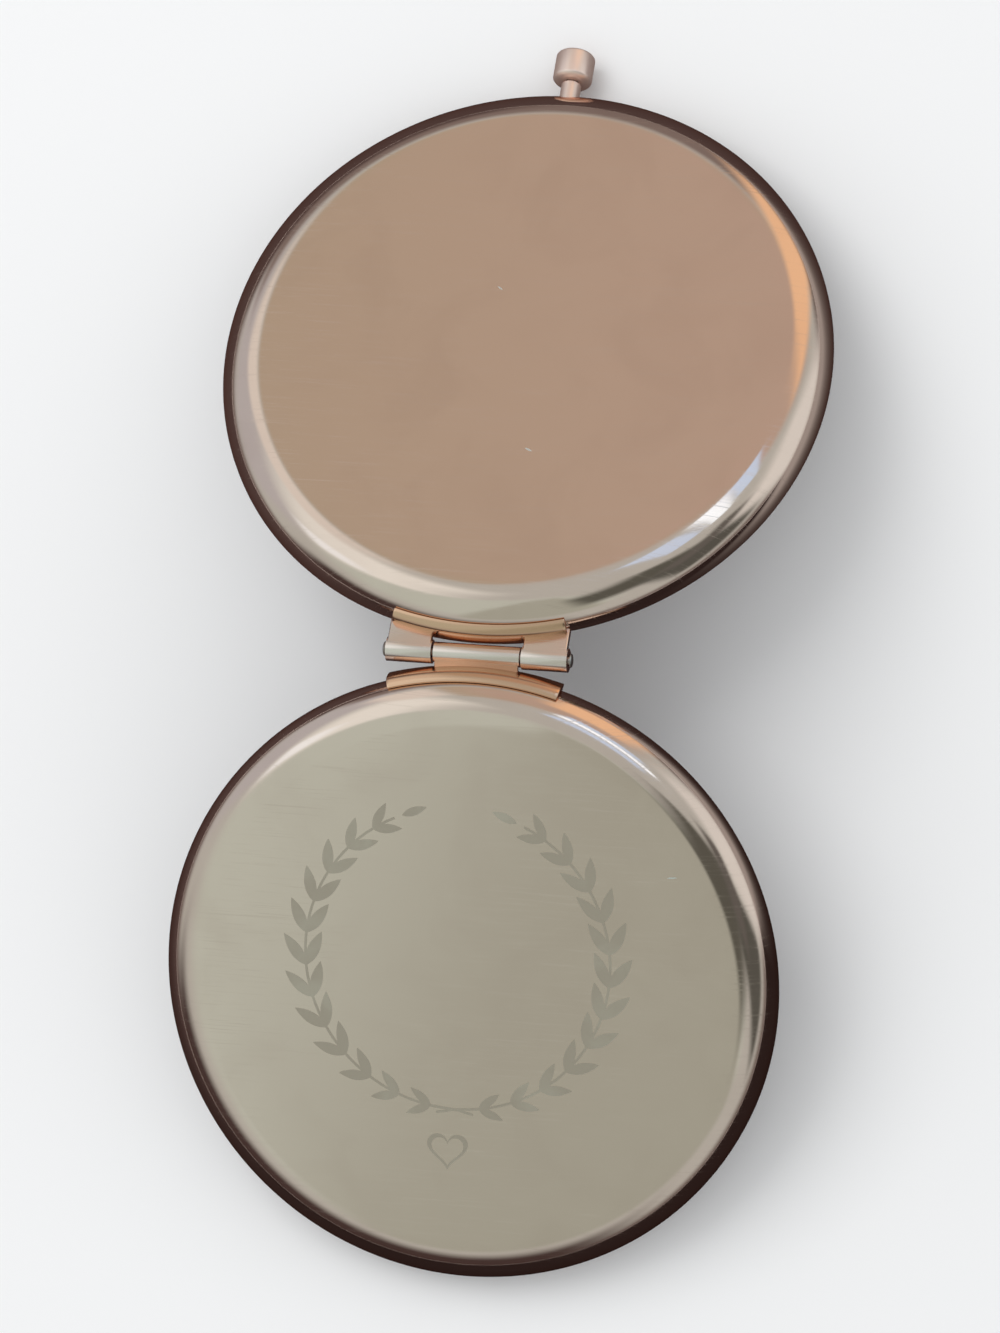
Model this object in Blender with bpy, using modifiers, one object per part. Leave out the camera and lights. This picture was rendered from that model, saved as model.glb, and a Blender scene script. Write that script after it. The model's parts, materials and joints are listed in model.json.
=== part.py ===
"""Compact mirror: two round metal halves on a pin hinge, with a push button catch.

Each half is built about its own local frame: X along the hinge axis, Y away from the hinge,
Z from the parting plane (zero) out to the flat cover. The base half lies on the +Y side of the
hinge and the lid half on the -Y side. Both frames are tilted about the hinge axis, so that the
opened compact stands as a low tent with its mirrors underneath.
"""

import math

import bmesh
import bpy
from mathutils import Matrix, Vector

# Round halves, in metres
MIRROR_RADIUS = 0.0290
MIRROR_THICKNESS = 0.0012
EDGE_MARGIN = 0.0017
EDGE_ROUND = 0.0045
EDGE_WALL_TOP = 0.0008
COVER_WALL = 0.0006
PARTING_GAP = 0.0003
CLEARANCE = 0.0003
MIRROR_RECESS = 0.00045
MIRROR_EDGE_GRIND = 0.00015
MAGNIFIER_SAG = 0.00076
PAD_MARGIN = 0.00065
PAD_THICKNESS = 0.00095
SPACER_THICKNESS = 0.0009

# Ring that holds each mirror
BEAD_WIDTH = 0.0006
BEAD_FRONT = 0.00035
LAND_FRONT = 0.0006
LAND_THICKNESS = 0.0005
SKIRT_HEIGHT = 0.0005
SKIRT_THICKNESS = 0.0005

# Hinge
MIDDLE_KNUCKLE_RADIUS = 0.00115
MIDDLE_KNUCKLE_LENGTH = 0.0097
OUTER_KNUCKLE_RADIUS = 0.00145
OUTER_KNUCKLE_LENGTH = 0.0052
KNUCKLE_GAP = 0.00025
PIN_RADIUS = 0.0005
PIN_CLEARANCE = 0.00015
PIN_HEAD_RADIUS = 0.0008
PIN_HEAD_THICKNESS = 0.0003
PIN_HEAD_GAP = 0.0002
LEAF_SEAT_GAP = 0.0002
LEAF_THICKNESS = 0.00035
LEAF_FOOT = 0.0004
LEAF_TOP = 0.0032
LEAF_END_INSET = 0.0004
WEB_THICKNESS = 0.0008
WEB_END_INSET = 0.0002

# Button and its stem
BUTTON_TRAVEL = 0.0012
BUTTON_RADIUS = 0.0023
BUTTON_LENGTH = 0.0036
BUTTON_CHAMFER = 0.00035
BUTTON_STAND_OFF = 0.0004
BUTTON_BORE_DEPTH = 0.0020
STEM_RADIUS = 0.00115
STEM_TENON_RADIUS = 0.0006
STEM_TAIL_RADIUS = 0.0004
SLIDING_CLEARANCE = 0.00025

# Catch
TONGUE_HALF_WIDTH = 0.0017
TONGUE_THICKNESS = 0.0005
BARB_REACH = 0.0005
BARB_THICKNESS = 0.0005
BARB_ENGAGEMENT = 0.0004
BARB_CLEARANCE = 0.00025
CATCH_CLEARANCE = 0.00035
SLOT_SHOULDER = 0.0001
SLIDER_HALF_WIDTH = 0.0026
SLIDER_THICKNESS = 0.0005
SLIDER_TAIL = 0.0039
SLIDER_RAIL = 0.0006
SLIDER_LUG_HALF_WIDTH = 0.0016
SLIDER_LUG_HEIGHT = 0.0008
SPRING_LENGTH = 0.0032
SPRING_COIL_RADIUS = 0.00055
SPRING_WIRE_RADIUS = 0.00015
SPRING_TURNS = 5
GUIDE_WALL = 0.0005
GUIDE_LIP = 0.00065
GUIDE_LIP_THICKNESS = 0.0003
FOOT_EDGE = 0.0016
FOOT_THICKNESS = 0.0005
FOOT_DEPTH = 0.0021
FOOT_GAP = 0.0002
RIVET_RADIUS = 0.00045
RIVET_HEAD_RADIUS = 0.00095
RIVET_HEAD_THICKNESS = 0.00025
RIVET_CLEARANCE = 0.00025
RIVET_MARGIN = 0.0003

# One overrun for every cut, and the counts and angle that shape round pieces
OVERRUN = 0.0010
ROUND_STEPS = 60
SMALL_STEPS = 24
EDGE_ARC_STEPS = 6
LENS_ARC_STEPS = 6
SPRING_POINTS_PER_TURN = 10
MERGE_SHARE = 0.01
SHARP_ANGLE = math.radians(35.0)

# Angle between the two mirror planes at rest
OPEN_ANGLE = math.radians(140.0)

# Sizes that follow from those above
SHELL_FOOT = PARTING_GAP / 2
MIRROR_BACK = MIRROR_RECESS + MIRROR_THICKNESS
MAGNIFIER_CURVE_RADIUS = MIRROR_RADIUS**2 / (2 * MAGNIFIER_SAG)
PAD_FRONT = MIRROR_BACK + CLEARANCE
PAD_BACK = PAD_FRONT + PAD_THICKNESS
SPACER_FRONT = PAD_BACK + CLEARANCE
SPACER_BACK = SPACER_FRONT + SPACER_THICKNESS
COVER_INSIDE = SPACER_BACK + CLEARANCE
COVER_HEIGHT = COVER_INSIDE + COVER_WALL
BEAD_INNER = MIRROR_RADIUS + CLEARANCE
BEAD_OUTER = BEAD_INNER + BEAD_WIDTH
LAND_BACK = LAND_FRONT + LAND_THICKNESS

SLOT_INNER = BEAD_OUTER + SLOT_SHOULDER
BARB_TIP = SLOT_INNER + CATCH_CLEARANCE
TONGUE_INNER = BARB_TIP + BARB_REACH
TONGUE_OUTER = TONGUE_INNER + TONGUE_THICKNESS
SLOT_OUTER = TONGUE_OUTER + CATCH_CLEARANCE
SLOT_HALF_WIDTH = TONGUE_HALF_WIDTH + CATCH_CLEARANCE
SLIDER_FRONT = MIRROR_BACK + CLEARANCE
SLIDER_BACK = SLIDER_FRONT + SLIDER_THICKNESS
STEM_HEIGHT = (SLIDER_FRONT + SLIDER_BACK) / 2
BARB_FRONT = SLIDER_BACK + BARB_CLEARANCE
TONGUE_REACH = BARB_FRONT + BARB_THICKNESS
WINDOW_INNER = BARB_TIP + BARB_ENGAGEMENT
WINDOW_OUTER = TONGUE_OUTER + SLIDING_CLEARANCE + BUTTON_TRAVEL
WINDOW_HALF_WIDTH = SLIDER_HALF_WIDTH - SLIDER_RAIL
SLIDER_HEAD = WINDOW_OUTER + SLIDER_THICKNESS
SLIDER_END = WINDOW_INNER - SLIDER_TAIL
SPRING_RADIUS = SPRING_COIL_RADIUS + SPRING_WIRE_RADIUS
SPRING_HEIGHT = SLIDER_FRONT + SPRING_RADIUS
SPRING_OUTER = SLIDER_END - SLIDING_CLEARANCE
SPRING_INNER = SPRING_OUTER - SPRING_LENGTH
GUIDE_END = SPRING_INNER - SLIDING_CLEARANCE
RAIL_INNER = SLIDER_HALF_WIDTH + SLIDING_CLEARANCE
RAIL_OUTER = RAIL_INNER + GUIDE_WALL
LIP_FRONT = SLIDER_BACK + SLIDING_CLEARANCE
LIP_BACK = LIP_FRONT + GUIDE_LIP_THICKNESS
FOOT_FRONT = LAND_BACK + FOOT_GAP
FOOT_BACK = FOOT_FRONT + FOOT_THICKNESS
FOOT_INNER = BEAD_OUTER + CLEARANCE
FOOT_OUTER = FOOT_INNER + FOOT_DEPTH
RIVET_LINE = (FOOT_INNER + FOOT_OUTER) / 2
RIVET_OFFSET = RAIL_OUTER + RIVET_MARGIN + RIVET_HEAD_RADIUS
FOOT_HALF_WIDTH = RIVET_OFFSET + FOOT_EDGE
PAD_RADIUS = GUIDE_END - GUIDE_WALL - PAD_MARGIN

DISC_RADIUS = SLIDER_HEAD + EDGE_MARGIN
FLAT_RADIUS = DISC_RADIUS - EDGE_ROUND
FRAME_RADIUS = DISC_RADIUS - COVER_WALL - CLEARANCE
HINGE_OFFSET = DISC_RADIUS + LEAF_SEAT_GAP + LEAF_THICKNESS + CLEARANCE + MIDDLE_KNUCKLE_RADIUS
MIDDLE_KNUCKLE_END = MIDDLE_KNUCKLE_LENGTH / 2
OUTER_KNUCKLE_START = MIDDLE_KNUCKLE_END + KNUCKLE_GAP
OUTER_KNUCKLE_END = OUTER_KNUCKLE_START + OUTER_KNUCKLE_LENGTH
HINGE_BORE = PIN_RADIUS + PIN_CLEARANCE

STEM_INNER = SLIDER_HEAD + SLIDING_CLEARANCE
BUTTON_INNER = DISC_RADIUS + BUTTON_TRAVEL + BUTTON_STAND_OFF
BUTTON_OUTER = BUTTON_INNER + BUTTON_LENGTH
STEM_OUTER = BUTTON_INNER - SLIDING_CLEARANCE


def stand_tilts():
    """Base tilt, lid tilt and hinge height for which the button and the tongue touch one plane."""
    foot_reach = HINGE_OFFSET + BUTTON_OUTER - BUTTON_CHAMFER
    foot_drop = BUTTON_RADIUS - STEM_HEIGHT
    tip_reach = HINGE_OFFSET + TONGUE_OUTER
    base_arm = math.hypot(foot_reach, foot_drop)
    lid_arm = math.hypot(tip_reach, TONGUE_REACH)
    base_lead = math.atan2(foot_drop, foot_reach)
    lid_lead = math.atan2(TONGUE_REACH, tip_reach)
    fold = math.pi - OPEN_ANGLE + base_lead + lid_lead
    base_turn = math.atan2(lid_arm * math.sin(fold), base_arm + lid_arm * math.cos(fold))
    height = base_arm * math.sin(base_turn)
    return base_turn - base_lead, fold - base_turn - lid_lead, height


BASE_TILT, LID_TILT, HINGE_HEIGHT = stand_tilts()


def clear_scene():
    for old in list(bpy.data.objects):
        bpy.data.objects.remove(old, do_unlink=True)


def new_collection(name):
    made = bpy.data.collections.new(name)
    bpy.context.scene.collection.children.link(made)
    return made


clear_scene()
parts = new_collection("compact_mirror")
cutters = new_collection("cutters")


def make_material(name, colour, roughness, metallic):
    made = bpy.data.materials.new(name)
    made.use_nodes = True
    shader = made.node_tree.nodes["Principled BSDF"]
    shader.inputs["Base Color"].default_value = (*colour, 1.0)
    shader.inputs["Roughness"].default_value = roughness
    shader.inputs["Metallic"].default_value = metallic
    return made


rose_gold = make_material("rose_gold", (0.86, 0.62, 0.51), 0.12, 1.0)
satin_steel = make_material("satin_steel", (0.62, 0.61, 0.60), 0.35, 1.0)
mirror_glass = make_material("mirror_glass", (0.92, 0.93, 0.94), 0.02, 1.0)
foam = make_material("foam", (0.86, 0.86, 0.84), 0.90, 0.0)
fibre = make_material("fibre", (0.55, 0.45, 0.33), 0.85, 0.0)


def make_frame(name, location, tilt, parent=None):
    """An empty that carries one moving body, on that body's joint axis."""
    empty = bpy.data.objects.new(name, None)
    empty.parent = parent
    empty.location = location
    empty.rotation_euler = (tilt, 0.0, 0.0)
    parts.objects.link(empty)
    return empty


def add_object(name, mesh, frame, material, location=(0.0, 0.0, 0.0), rotation=(0.0, 0.0, 0.0)):
    made = bpy.data.objects.new(name, mesh)
    made.parent = frame
    made.location = location
    made.rotation_euler = rotation
    if material:
        made.data.materials.append(material)
        parts.objects.link(made)
    else:
        made.hide_render = True
        made.display_type = "WIRE"
        cutters.objects.link(made)
    return made


def smooth_mesh(mesh):
    mesh.shade_smooth()
    mesh.set_sharp_from_angle(angle=SHARP_ANGLE)


def turned(name, outline, frame, material, location, rotation=(0.0, 0.0, 0.0), **options):
    """A piece turned about its local Z from (radius, height) points; closed joins the outline up."""
    closed = options.get("closed", False)
    steps = options.get("steps", ROUND_STEPS)
    mesh = bpy.data.meshes.new(name)
    count = len(outline)
    edges = [(i, i + 1) for i in range(count - 1)]
    if closed:
        edges.append((count - 1, 0))
    mesh.from_pydata([(r, 0.0, z) for r, z in outline], edges, [])
    made = add_object(name, mesh, frame, material, location, rotation)
    screw = made.modifiers.new("turn", "SCREW")
    screw.axis = "Z"
    screw.angle = math.tau
    screw.steps = steps
    screw.render_steps = steps
    screw.use_smooth_shade = True
    screw.use_merge_vertices = True
    screw.merge_threshold = MERGE_SHARE * SPRING_WIRE_RADIUS
    return made


def block_mesh(name, boxes):
    """One mesh of separate boxes, each given by its lowest and highest corner."""
    mesh = bpy.data.meshes.new(name)
    shape = bmesh.new()
    for low, high in boxes:
        low, high = Vector(low), Vector(high)
        middle = Matrix.Translation((low + high) / 2)
        size = Matrix.Diagonal((*(high - low), 1.0))
        bmesh.ops.create_cube(shape, size=1.0, matrix=middle @ size)
    shape.to_mesh(mesh)
    shape.free()
    return mesh


def rod_mesh(name, rods, turn, steps=SMALL_STEPS):
    """One mesh of separate rods along the turned Z, each given by its radius and its two ends."""
    mesh = bpy.data.meshes.new(name)
    shape = bmesh.new()
    for radius, start, end in rods:
        start, end = Vector(start), Vector(end)
        place = Matrix.Translation((start + end) / 2) @ turn
        bmesh.ops.create_cone(
            shape,
            cap_ends=True,
            segments=steps,
            radius1=radius,
            radius2=radius,
            depth=(end - start).length,
            matrix=place,
        )
    shape.to_mesh(mesh)
    shape.free()
    smooth_mesh(mesh)
    return mesh


ALONG_X = Matrix.Rotation(math.pi / 2, 4, "Y")
ALONG_Y = Matrix.Rotation(math.pi / 2, 4, "X")
ALONG_Z = Matrix.Identity(4)


def combine(piece, other, operation):
    step = piece.modifiers.new(other.name, "BOOLEAN")
    step.operation = operation
    step.solver = "EXACT"
    step.object = other


def combine_blocks(piece, label, boxes, frame, operation):
    name = piece.name + label
    combine(piece, add_object(name, block_mesh(name, boxes), frame, None), operation)


def combine_rods(piece, label, rods, turn, frame, operation):
    name = piece.name + label
    combine(piece, add_object(name, rod_mesh(name, rods, turn), frame, None), operation)


def edge_arc(growth, steps=EDGE_ARC_STEPS):
    """Rounded shoulder of the cover, grown outwards, from its flat down to its side wall."""
    wide = EDGE_ROUND + growth
    tall = COVER_HEIGHT - EDGE_WALL_TOP + growth
    turns = [math.pi / 2 * i / steps for i in range(steps + 1)]
    return [(FLAT_RADIUS + wide * math.sin(t), EDGE_WALL_TOP + tall * math.cos(t)) for t in turns]


def make_cover(name, frame, side):
    outside = [(0.0, COVER_HEIGHT)] + edge_arc(0.0) + [(DISC_RADIUS, SHELL_FOOT)]
    inside = [(DISC_RADIUS - COVER_WALL, SHELL_FOOT)] + edge_arc(-COVER_WALL)[::-1]
    inside += [(0.0, COVER_INSIDE)]
    return turned(name, outside + inside, frame, rose_gold, (0.0, side * HINGE_OFFSET, 0.0))


def make_mirror_frame(name, frame, side):
    skirt_top = LAND_BACK + SKIRT_HEIGHT
    outline = [
        (FRAME_RADIUS, skirt_top),
        (FRAME_RADIUS, LAND_FRONT),
        (BEAD_OUTER, LAND_FRONT),
        (BEAD_OUTER - BEAD_WIDTH / 4, BEAD_FRONT),
        (BEAD_INNER, BEAD_FRONT),
        (BEAD_INNER, LAND_BACK),
        (FRAME_RADIUS - SKIRT_THICKNESS, LAND_BACK),
        (FRAME_RADIUS - SKIRT_THICKNESS, skirt_top),
    ]
    ring = turned(name, outline, frame, rose_gold, (0.0, side * HINGE_OFFSET, 0.0), closed=True)
    wide = SLOT_HALF_WIDTH
    slot = far_box(side, (-wide, wide), (SLOT_INNER, SLOT_OUTER), (-OVERRUN, LAND_BACK + OVERRUN))
    combine_blocks(ring, "_slot_cut", [slot], frame, "DIFFERENCE")
    holes = rivet_rods(side, RIVET_RADIUS + RIVET_CLEARANCE, -OVERRUN, LAND_BACK + OVERRUN)
    combine_rods(ring, "_rivet_cut", holes, ALONG_Z, frame, "DIFFERENCE")
    return ring


def far_box(side, across, outwards, height):
    """Corners of a box from three ranges; outwards runs from the disc's centre to its far end."""
    low, high = sorted(side * (HINGE_OFFSET + y) for y in outwards)
    return (across[0], low, height[0]), (across[1], high, height[1])


def rivet_rods(side, radius, z0, z1):
    y = side * (HINGE_OFFSET + RIVET_LINE)
    return [(radius, (x, y, z0), (x, y, z1)) for x in (-RIVET_OFFSET, RIVET_OFFSET)]


def make_flat_mirror(name, frame, side):
    grind = MIRROR_EDGE_GRIND
    outline = [
        (0.0, MIRROR_BACK),
        (MIRROR_RADIUS - grind, MIRROR_BACK),
        (MIRROR_RADIUS, MIRROR_BACK - grind),
        (MIRROR_RADIUS, MIRROR_RECESS + grind),
        (MIRROR_RADIUS - grind, MIRROR_RECESS),
        (0.0, MIRROR_RECESS),
    ]
    return turned(name, outline, frame, mirror_glass, (0.0, side * HINGE_OFFSET, 0.0))


def lens_arc(edge_radius, edge_height):
    """Points of the hollowed glass from its edge in to its axis, at the given height on the rim."""
    shares = [1 - i / LENS_ARC_STEPS for i in range(LENS_ARC_STEPS + 1)]
    radii = [edge_radius * share for share in shares]
    return [(r, edge_height + MAGNIFIER_SAG - r**2 / (2 * MAGNIFIER_CURVE_RADIUS)) for r in radii]


def make_magnifying_mirror(name, frame, side):
    grind = MIRROR_EDGE_GRIND
    back = lens_arc(MIRROR_RADIUS - grind, MIRROR_BACK)[::-1]
    front = lens_arc(MIRROR_RADIUS - grind, MIRROR_RECESS)
    edge = [(MIRROR_RADIUS, MIRROR_BACK - grind), (MIRROR_RADIUS, MIRROR_RECESS + grind)]
    return turned(name, back + edge + front, frame, mirror_glass, (0.0, side * HINGE_OFFSET, 0.0))


def make_pad(name, frame, side, hollowed):
    front = [(PAD_RADIUS, PAD_FRONT), (0.0, PAD_FRONT)]
    if hollowed:
        front = lens_arc(PAD_RADIUS, PAD_FRONT)
    outline = [(0.0, PAD_BACK), (PAD_RADIUS, PAD_BACK)] + front
    return turned(name, outline, frame, foam, (0.0, side * HINGE_OFFSET, 0.0))


def make_spacer(name, frame, side):
    outline = [
        (0.0, SPACER_BACK),
        (PAD_RADIUS, SPACER_BACK),
        (PAD_RADIUS, SPACER_FRONT),
        (0.0, SPACER_FRONT),
    ]
    return turned(name, outline, frame, fibre, (0.0, side * HINGE_OFFSET, 0.0))


def shell_solid(name, frame, side, growth):
    """Solid that fills the cover out to its outside surface and a little beyond, used for trimming."""
    top = COVER_HEIGHT + growth
    wall = DISC_RADIUS + growth
    outline = [(0.0, top)] + edge_arc(growth) + [(wall, -OVERRUN), (0.0, -OVERRUN)]
    return turned(name, outline, frame, None, (0.0, side * HINGE_OFFSET, 0.0))


def make_leaf(name, frame, side, knuckle_radius, knuckles):
    """Curved leaf along the cover's side wall, with its knuckles on the hinge axis."""
    inner, outer = LEAF_SEAT_GAP, LEAF_SEAT_GAP + LEAF_THICKNESS
    wall = [p for p in edge_arc(outer) if p[1] < LEAF_TOP]
    seat = [p for p in edge_arc(inner) if p[1] < LEAF_TOP]
    foot = [(DISC_RADIUS + outer, LEAF_FOOT), (DISC_RADIUS + inner, LEAF_FOOT)]
    outline = wall + foot + seat[::-1]
    leaf = turned(name, outline, frame, rose_gold, (0.0, side * HINGE_OFFSET, 0.0), closed=True)

    half = OUTER_KNUCKLE_END - LEAF_END_INSET
    near, far = sorted((0.0, side * HINGE_OFFSET / 2))
    keep = ((-half, near, 0.0), (half, far, COVER_HEIGHT))
    combine_blocks(leaf, "_keep", [keep], frame, "INTERSECT")

    reach = HINGE_OFFSET - math.sqrt((DISC_RADIUS + inner) ** 2 - OUTER_KNUCKLE_END**2)
    webs = []
    for start, end in knuckles:
        low, high = sorted((0.0, side * reach))
        web_top = LEAF_FOOT + WEB_THICKNESS
        webs.append(((start + WEB_END_INSET, low, LEAF_FOOT), (end - WEB_END_INSET, high, web_top)))
    combine_blocks(leaf, "_webs", webs, frame, "UNION")
    rods = [(knuckle_radius, (start, 0.0, 0.0), (end, 0.0, 0.0)) for start, end in knuckles]
    combine_rods(leaf, "_knuckles", rods, ALONG_X, frame, "UNION")

    combine(leaf, shell_solid(name + "_shell_cut", frame, side, inner), "DIFFERENCE")
    length = OUTER_KNUCKLE_END + OVERRUN
    bore = [(HINGE_BORE, (-length, 0.0, 0.0), (length, 0.0, 0.0))]
    combine_rods(leaf, "_bore_cut", bore, ALONG_X, frame, "DIFFERENCE")
    return leaf


def make_pin(name, frame):
    """Hinge pin with a low peened head at each end."""
    inner = OUTER_KNUCKLE_END + PIN_HEAD_GAP
    outer = inner + PIN_HEAD_THICKNESS
    crown = PIN_HEAD_RADIUS / 2
    upper = [(0.0, outer), (crown, outer), (PIN_HEAD_RADIUS, inner + PIN_HEAD_THICKNESS / 2)]
    upper += [(PIN_HEAD_RADIUS, inner), (PIN_RADIUS, inner)]
    outline = upper + [(r, -z) for r, z in upper[::-1]]
    turn = (0.0, math.pi / 2, 0.0)
    return turned(name, outline, frame, satin_steel, (0.0, 0.0, 0.0), turn, steps=SMALL_STEPS)


def make_button_cap(name, frame):
    """Knob along local Z, with a blind bore in its inner end for the stem."""
    chamfer = BUTTON_CHAMFER
    bore = STEM_TENON_RADIUS + SLIDING_CLEARANCE
    outline = [
        (0.0, BUTTON_OUTER),
        (BUTTON_RADIUS - chamfer, BUTTON_OUTER),
        (BUTTON_RADIUS, BUTTON_OUTER - chamfer),
        (BUTTON_RADIUS, BUTTON_INNER + chamfer),
        (BUTTON_RADIUS - chamfer, BUTTON_INNER),
        (bore, BUTTON_INNER),
        (bore, BUTTON_INNER + BUTTON_BORE_DEPTH),
        (0.0, BUTTON_INNER + BUTTON_BORE_DEPTH),
    ]
    turn = (-math.pi / 2, 0.0, 0.0)
    return turned(name, outline, frame, rose_gold, (0.0, 0.0, 0.0), turn, steps=SMALL_STEPS)


def make_button_stem(name, frame):
    """Stem along local Z: a tail in the slider, a sliding length and a tenon in the knob."""
    tenon_end = BUTTON_INNER + BUTTON_BORE_DEPTH - SLIDING_CLEARANCE
    outline = [
        (0.0, tenon_end),
        (STEM_TENON_RADIUS, tenon_end),
        (STEM_TENON_RADIUS, STEM_OUTER),
        (STEM_RADIUS, STEM_OUTER),
        (STEM_RADIUS, STEM_INNER),
        (STEM_TAIL_RADIUS, STEM_INNER),
        (STEM_TAIL_RADIUS, WINDOW_OUTER),
        (0.0, WINDOW_OUTER),
    ]
    turn = (-math.pi / 2, 0.0, 0.0)
    return turned(name, outline, frame, rose_gold, (0.0, 0.0, 0.0), turn, steps=SMALL_STEPS)


def cut_stem_passage(piece, frame):
    """Hole for the stem through the base cover, or a groove in the ring along its whole travel."""
    radius = STEM_RADIUS + SLIDING_CLEARANCE
    start = (0.0, HINGE_OFFSET + SLIDER_HEAD - BUTTON_TRAVEL, STEM_HEIGHT)
    end = (0.0, HINGE_OFFSET + DISC_RADIUS + OVERRUN, STEM_HEIGHT)
    combine_rods(piece, "_stem_cut", [(radius, start, end)], ALONG_Y, frame, "DIFFERENCE")


def make_slider(name, button_frame):
    """Plate with a window for the tongue, a lug on the stem's tail and a lug for the spring."""
    z0 = SLIDER_FRONT - STEM_HEIGHT
    z1 = SLIDER_BACK - STEM_HEIGHT
    wide = SLIDER_HALF_WIDTH
    inset = SLIDER_THICKNESS / 4
    mesh = block_mesh(name, [((-wide, SLIDER_END, z0), (wide, SLIDER_HEAD, z1))])
    slider = add_object(name, mesh, button_frame, satin_steel)
    opening = WINDOW_HALF_WIDTH
    window = ((-opening, WINDOW_INNER, z0 - OVERRUN), (opening, WINDOW_OUTER, z1 + OVERRUN))
    combine_blocks(slider, "_window_cut", [window], button_frame, "DIFFERENCE")
    lug = SLIDER_LUG_HALF_WIDTH
    tall = SLIDER_LUG_HEIGHT
    spring_lug = SPRING_RADIUS + inset
    spring_lug_top = SPRING_HEIGHT + SPRING_RADIUS - STEM_HEIGHT
    lugs = [
        ((-lug, WINDOW_OUTER, -tall), (lug, SLIDER_HEAD, tall)),
        (
            (-spring_lug, SLIDER_END, z0 + inset),
            (spring_lug, SLIDER_END + SLIDER_THICKNESS, spring_lug_top),
        ),
    ]
    combine_blocks(slider, "_lugs", lugs, button_frame, "UNION")
    start = (0.0, WINDOW_OUTER - OVERRUN, 0.0)
    end = (0.0, SLIDER_HEAD + OVERRUN, 0.0)
    hole = [(STEM_TAIL_RADIUS + SLIDING_CLEARANCE, start, end)]
    combine_rods(slider, "_tail_cut", hole, ALONG_Y, button_frame, "DIFFERENCE")
    return slider


def make_spring(name, frame):
    """Return spring between the guide's end wall and the slider, wound along Y."""
    curve = bpy.data.curves.new(name, "CURVE")
    curve.dimensions = "3D"
    curve.bevel_depth = SPRING_WIRE_RADIUS
    curve.bevel_resolution = 1
    curve.use_fill_caps = True
    run = curve.splines.new("POLY")
    count = SPRING_TURNS * SPRING_POINTS_PER_TURN
    run.points.add(count)
    start = HINGE_OFFSET + SPRING_INNER + SPRING_WIRE_RADIUS
    length = SPRING_LENGTH - 2 * SPRING_WIRE_RADIUS
    for i, point in enumerate(run.points):
        turn = math.tau * i / SPRING_POINTS_PER_TURN
        x = SPRING_COIL_RADIUS * math.cos(turn)
        z = SPRING_HEIGHT + SPRING_COIL_RADIUS * math.sin(turn)
        point.co = (x, start + length * i / count, z, 1.0)
    pitch = length / SPRING_TURNS
    print("least gap between spring turns, mm:", round((pitch - 2 * SPRING_WIRE_RADIUS) * 1e3, 3))
    return add_object(name, curve, frame, satin_steel)


def make_guide(name, frame):
    """Bracket riveted behind the ring: two rails with lips, an end wall and two feet."""
    inset = GUIDE_WALL / 4
    past_lip = LIP_BACK + OVERRUN
    past_front = SLIDER_FRONT - OVERRUN
    past_foot = FOOT_OUTER + OVERRUN
    outside = (-RAIL_OUTER, RAIL_OUTER)
    length = (GUIDE_END - GUIDE_WALL, FOOT_OUTER)
    block = far_box(1, outside, length, (SLIDER_FRONT, LIP_BACK))
    guide = add_object(name, block_mesh(name, [block]), frame, satin_steel)

    lip = RAIL_INNER - GUIDE_LIP
    slot = far_box(1, (-lip, lip), (GUIDE_END, past_foot), (past_front, past_lip))
    combine_blocks(guide, "_slot_cut", [slot], frame, "DIFFERENCE")
    inside = (-RAIL_INNER, RAIL_INNER)
    track = far_box(1, inside, (GUIDE_END, past_foot), (past_front, LIP_FRONT))
    combine_blocks(guide, "_rail_cut", [track], frame, "DIFFERENCE")
    wide = RAIL_OUTER + OVERRUN
    low_end = far_box(1, (-wide, wide), (MIRROR_RADIUS, past_foot), (SLIDER_BACK, past_lip))
    combine_blocks(guide, "_front_cut", [low_end], frame, "DIFFERENCE")

    wide = RAIL_OUTER - inset
    length = (GUIDE_END - GUIDE_WALL + inset, GUIDE_END)
    wall = far_box(1, (-wide, wide), length, (SLIDER_FRONT + inset, SPRING_HEIGHT + SPRING_RADIUS))
    combine_blocks(guide, "_end_wall", [wall], frame, "UNION")
    depth = (FOOT_INNER, FOOT_OUTER - inset)
    risers = (FOOT_FRONT, SLIDER_BACK - inset)
    feet = {
        "_foot_left": far_box(1, (-FOOT_HALF_WIDTH, -RAIL_INNER), depth, (FOOT_FRONT, FOOT_BACK)),
        "_foot_right": far_box(1, (RAIL_INNER, FOOT_HALF_WIDTH), depth, (FOOT_FRONT, FOOT_BACK)),
        "_riser_left": far_box(1, (-RAIL_OUTER, -RAIL_INNER), depth, risers),
        "_riser_right": far_box(1, (RAIL_INNER, RAIL_OUTER), depth, risers),
    }
    for label, foot in feet.items():
        combine_blocks(guide, label, [foot], frame, "UNION")
    cut_rivet_holes(guide, 1, frame)
    return guide


def cut_rivet_holes(foot, side, frame):
    radius = RIVET_RADIUS + RIVET_CLEARANCE
    holes = rivet_rods(side, radius, FOOT_FRONT - OVERRUN, FOOT_BACK + OVERRUN)
    combine_rods(foot, "_rivet_cut", holes, ALONG_Z, frame, "DIFFERENCE")


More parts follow.
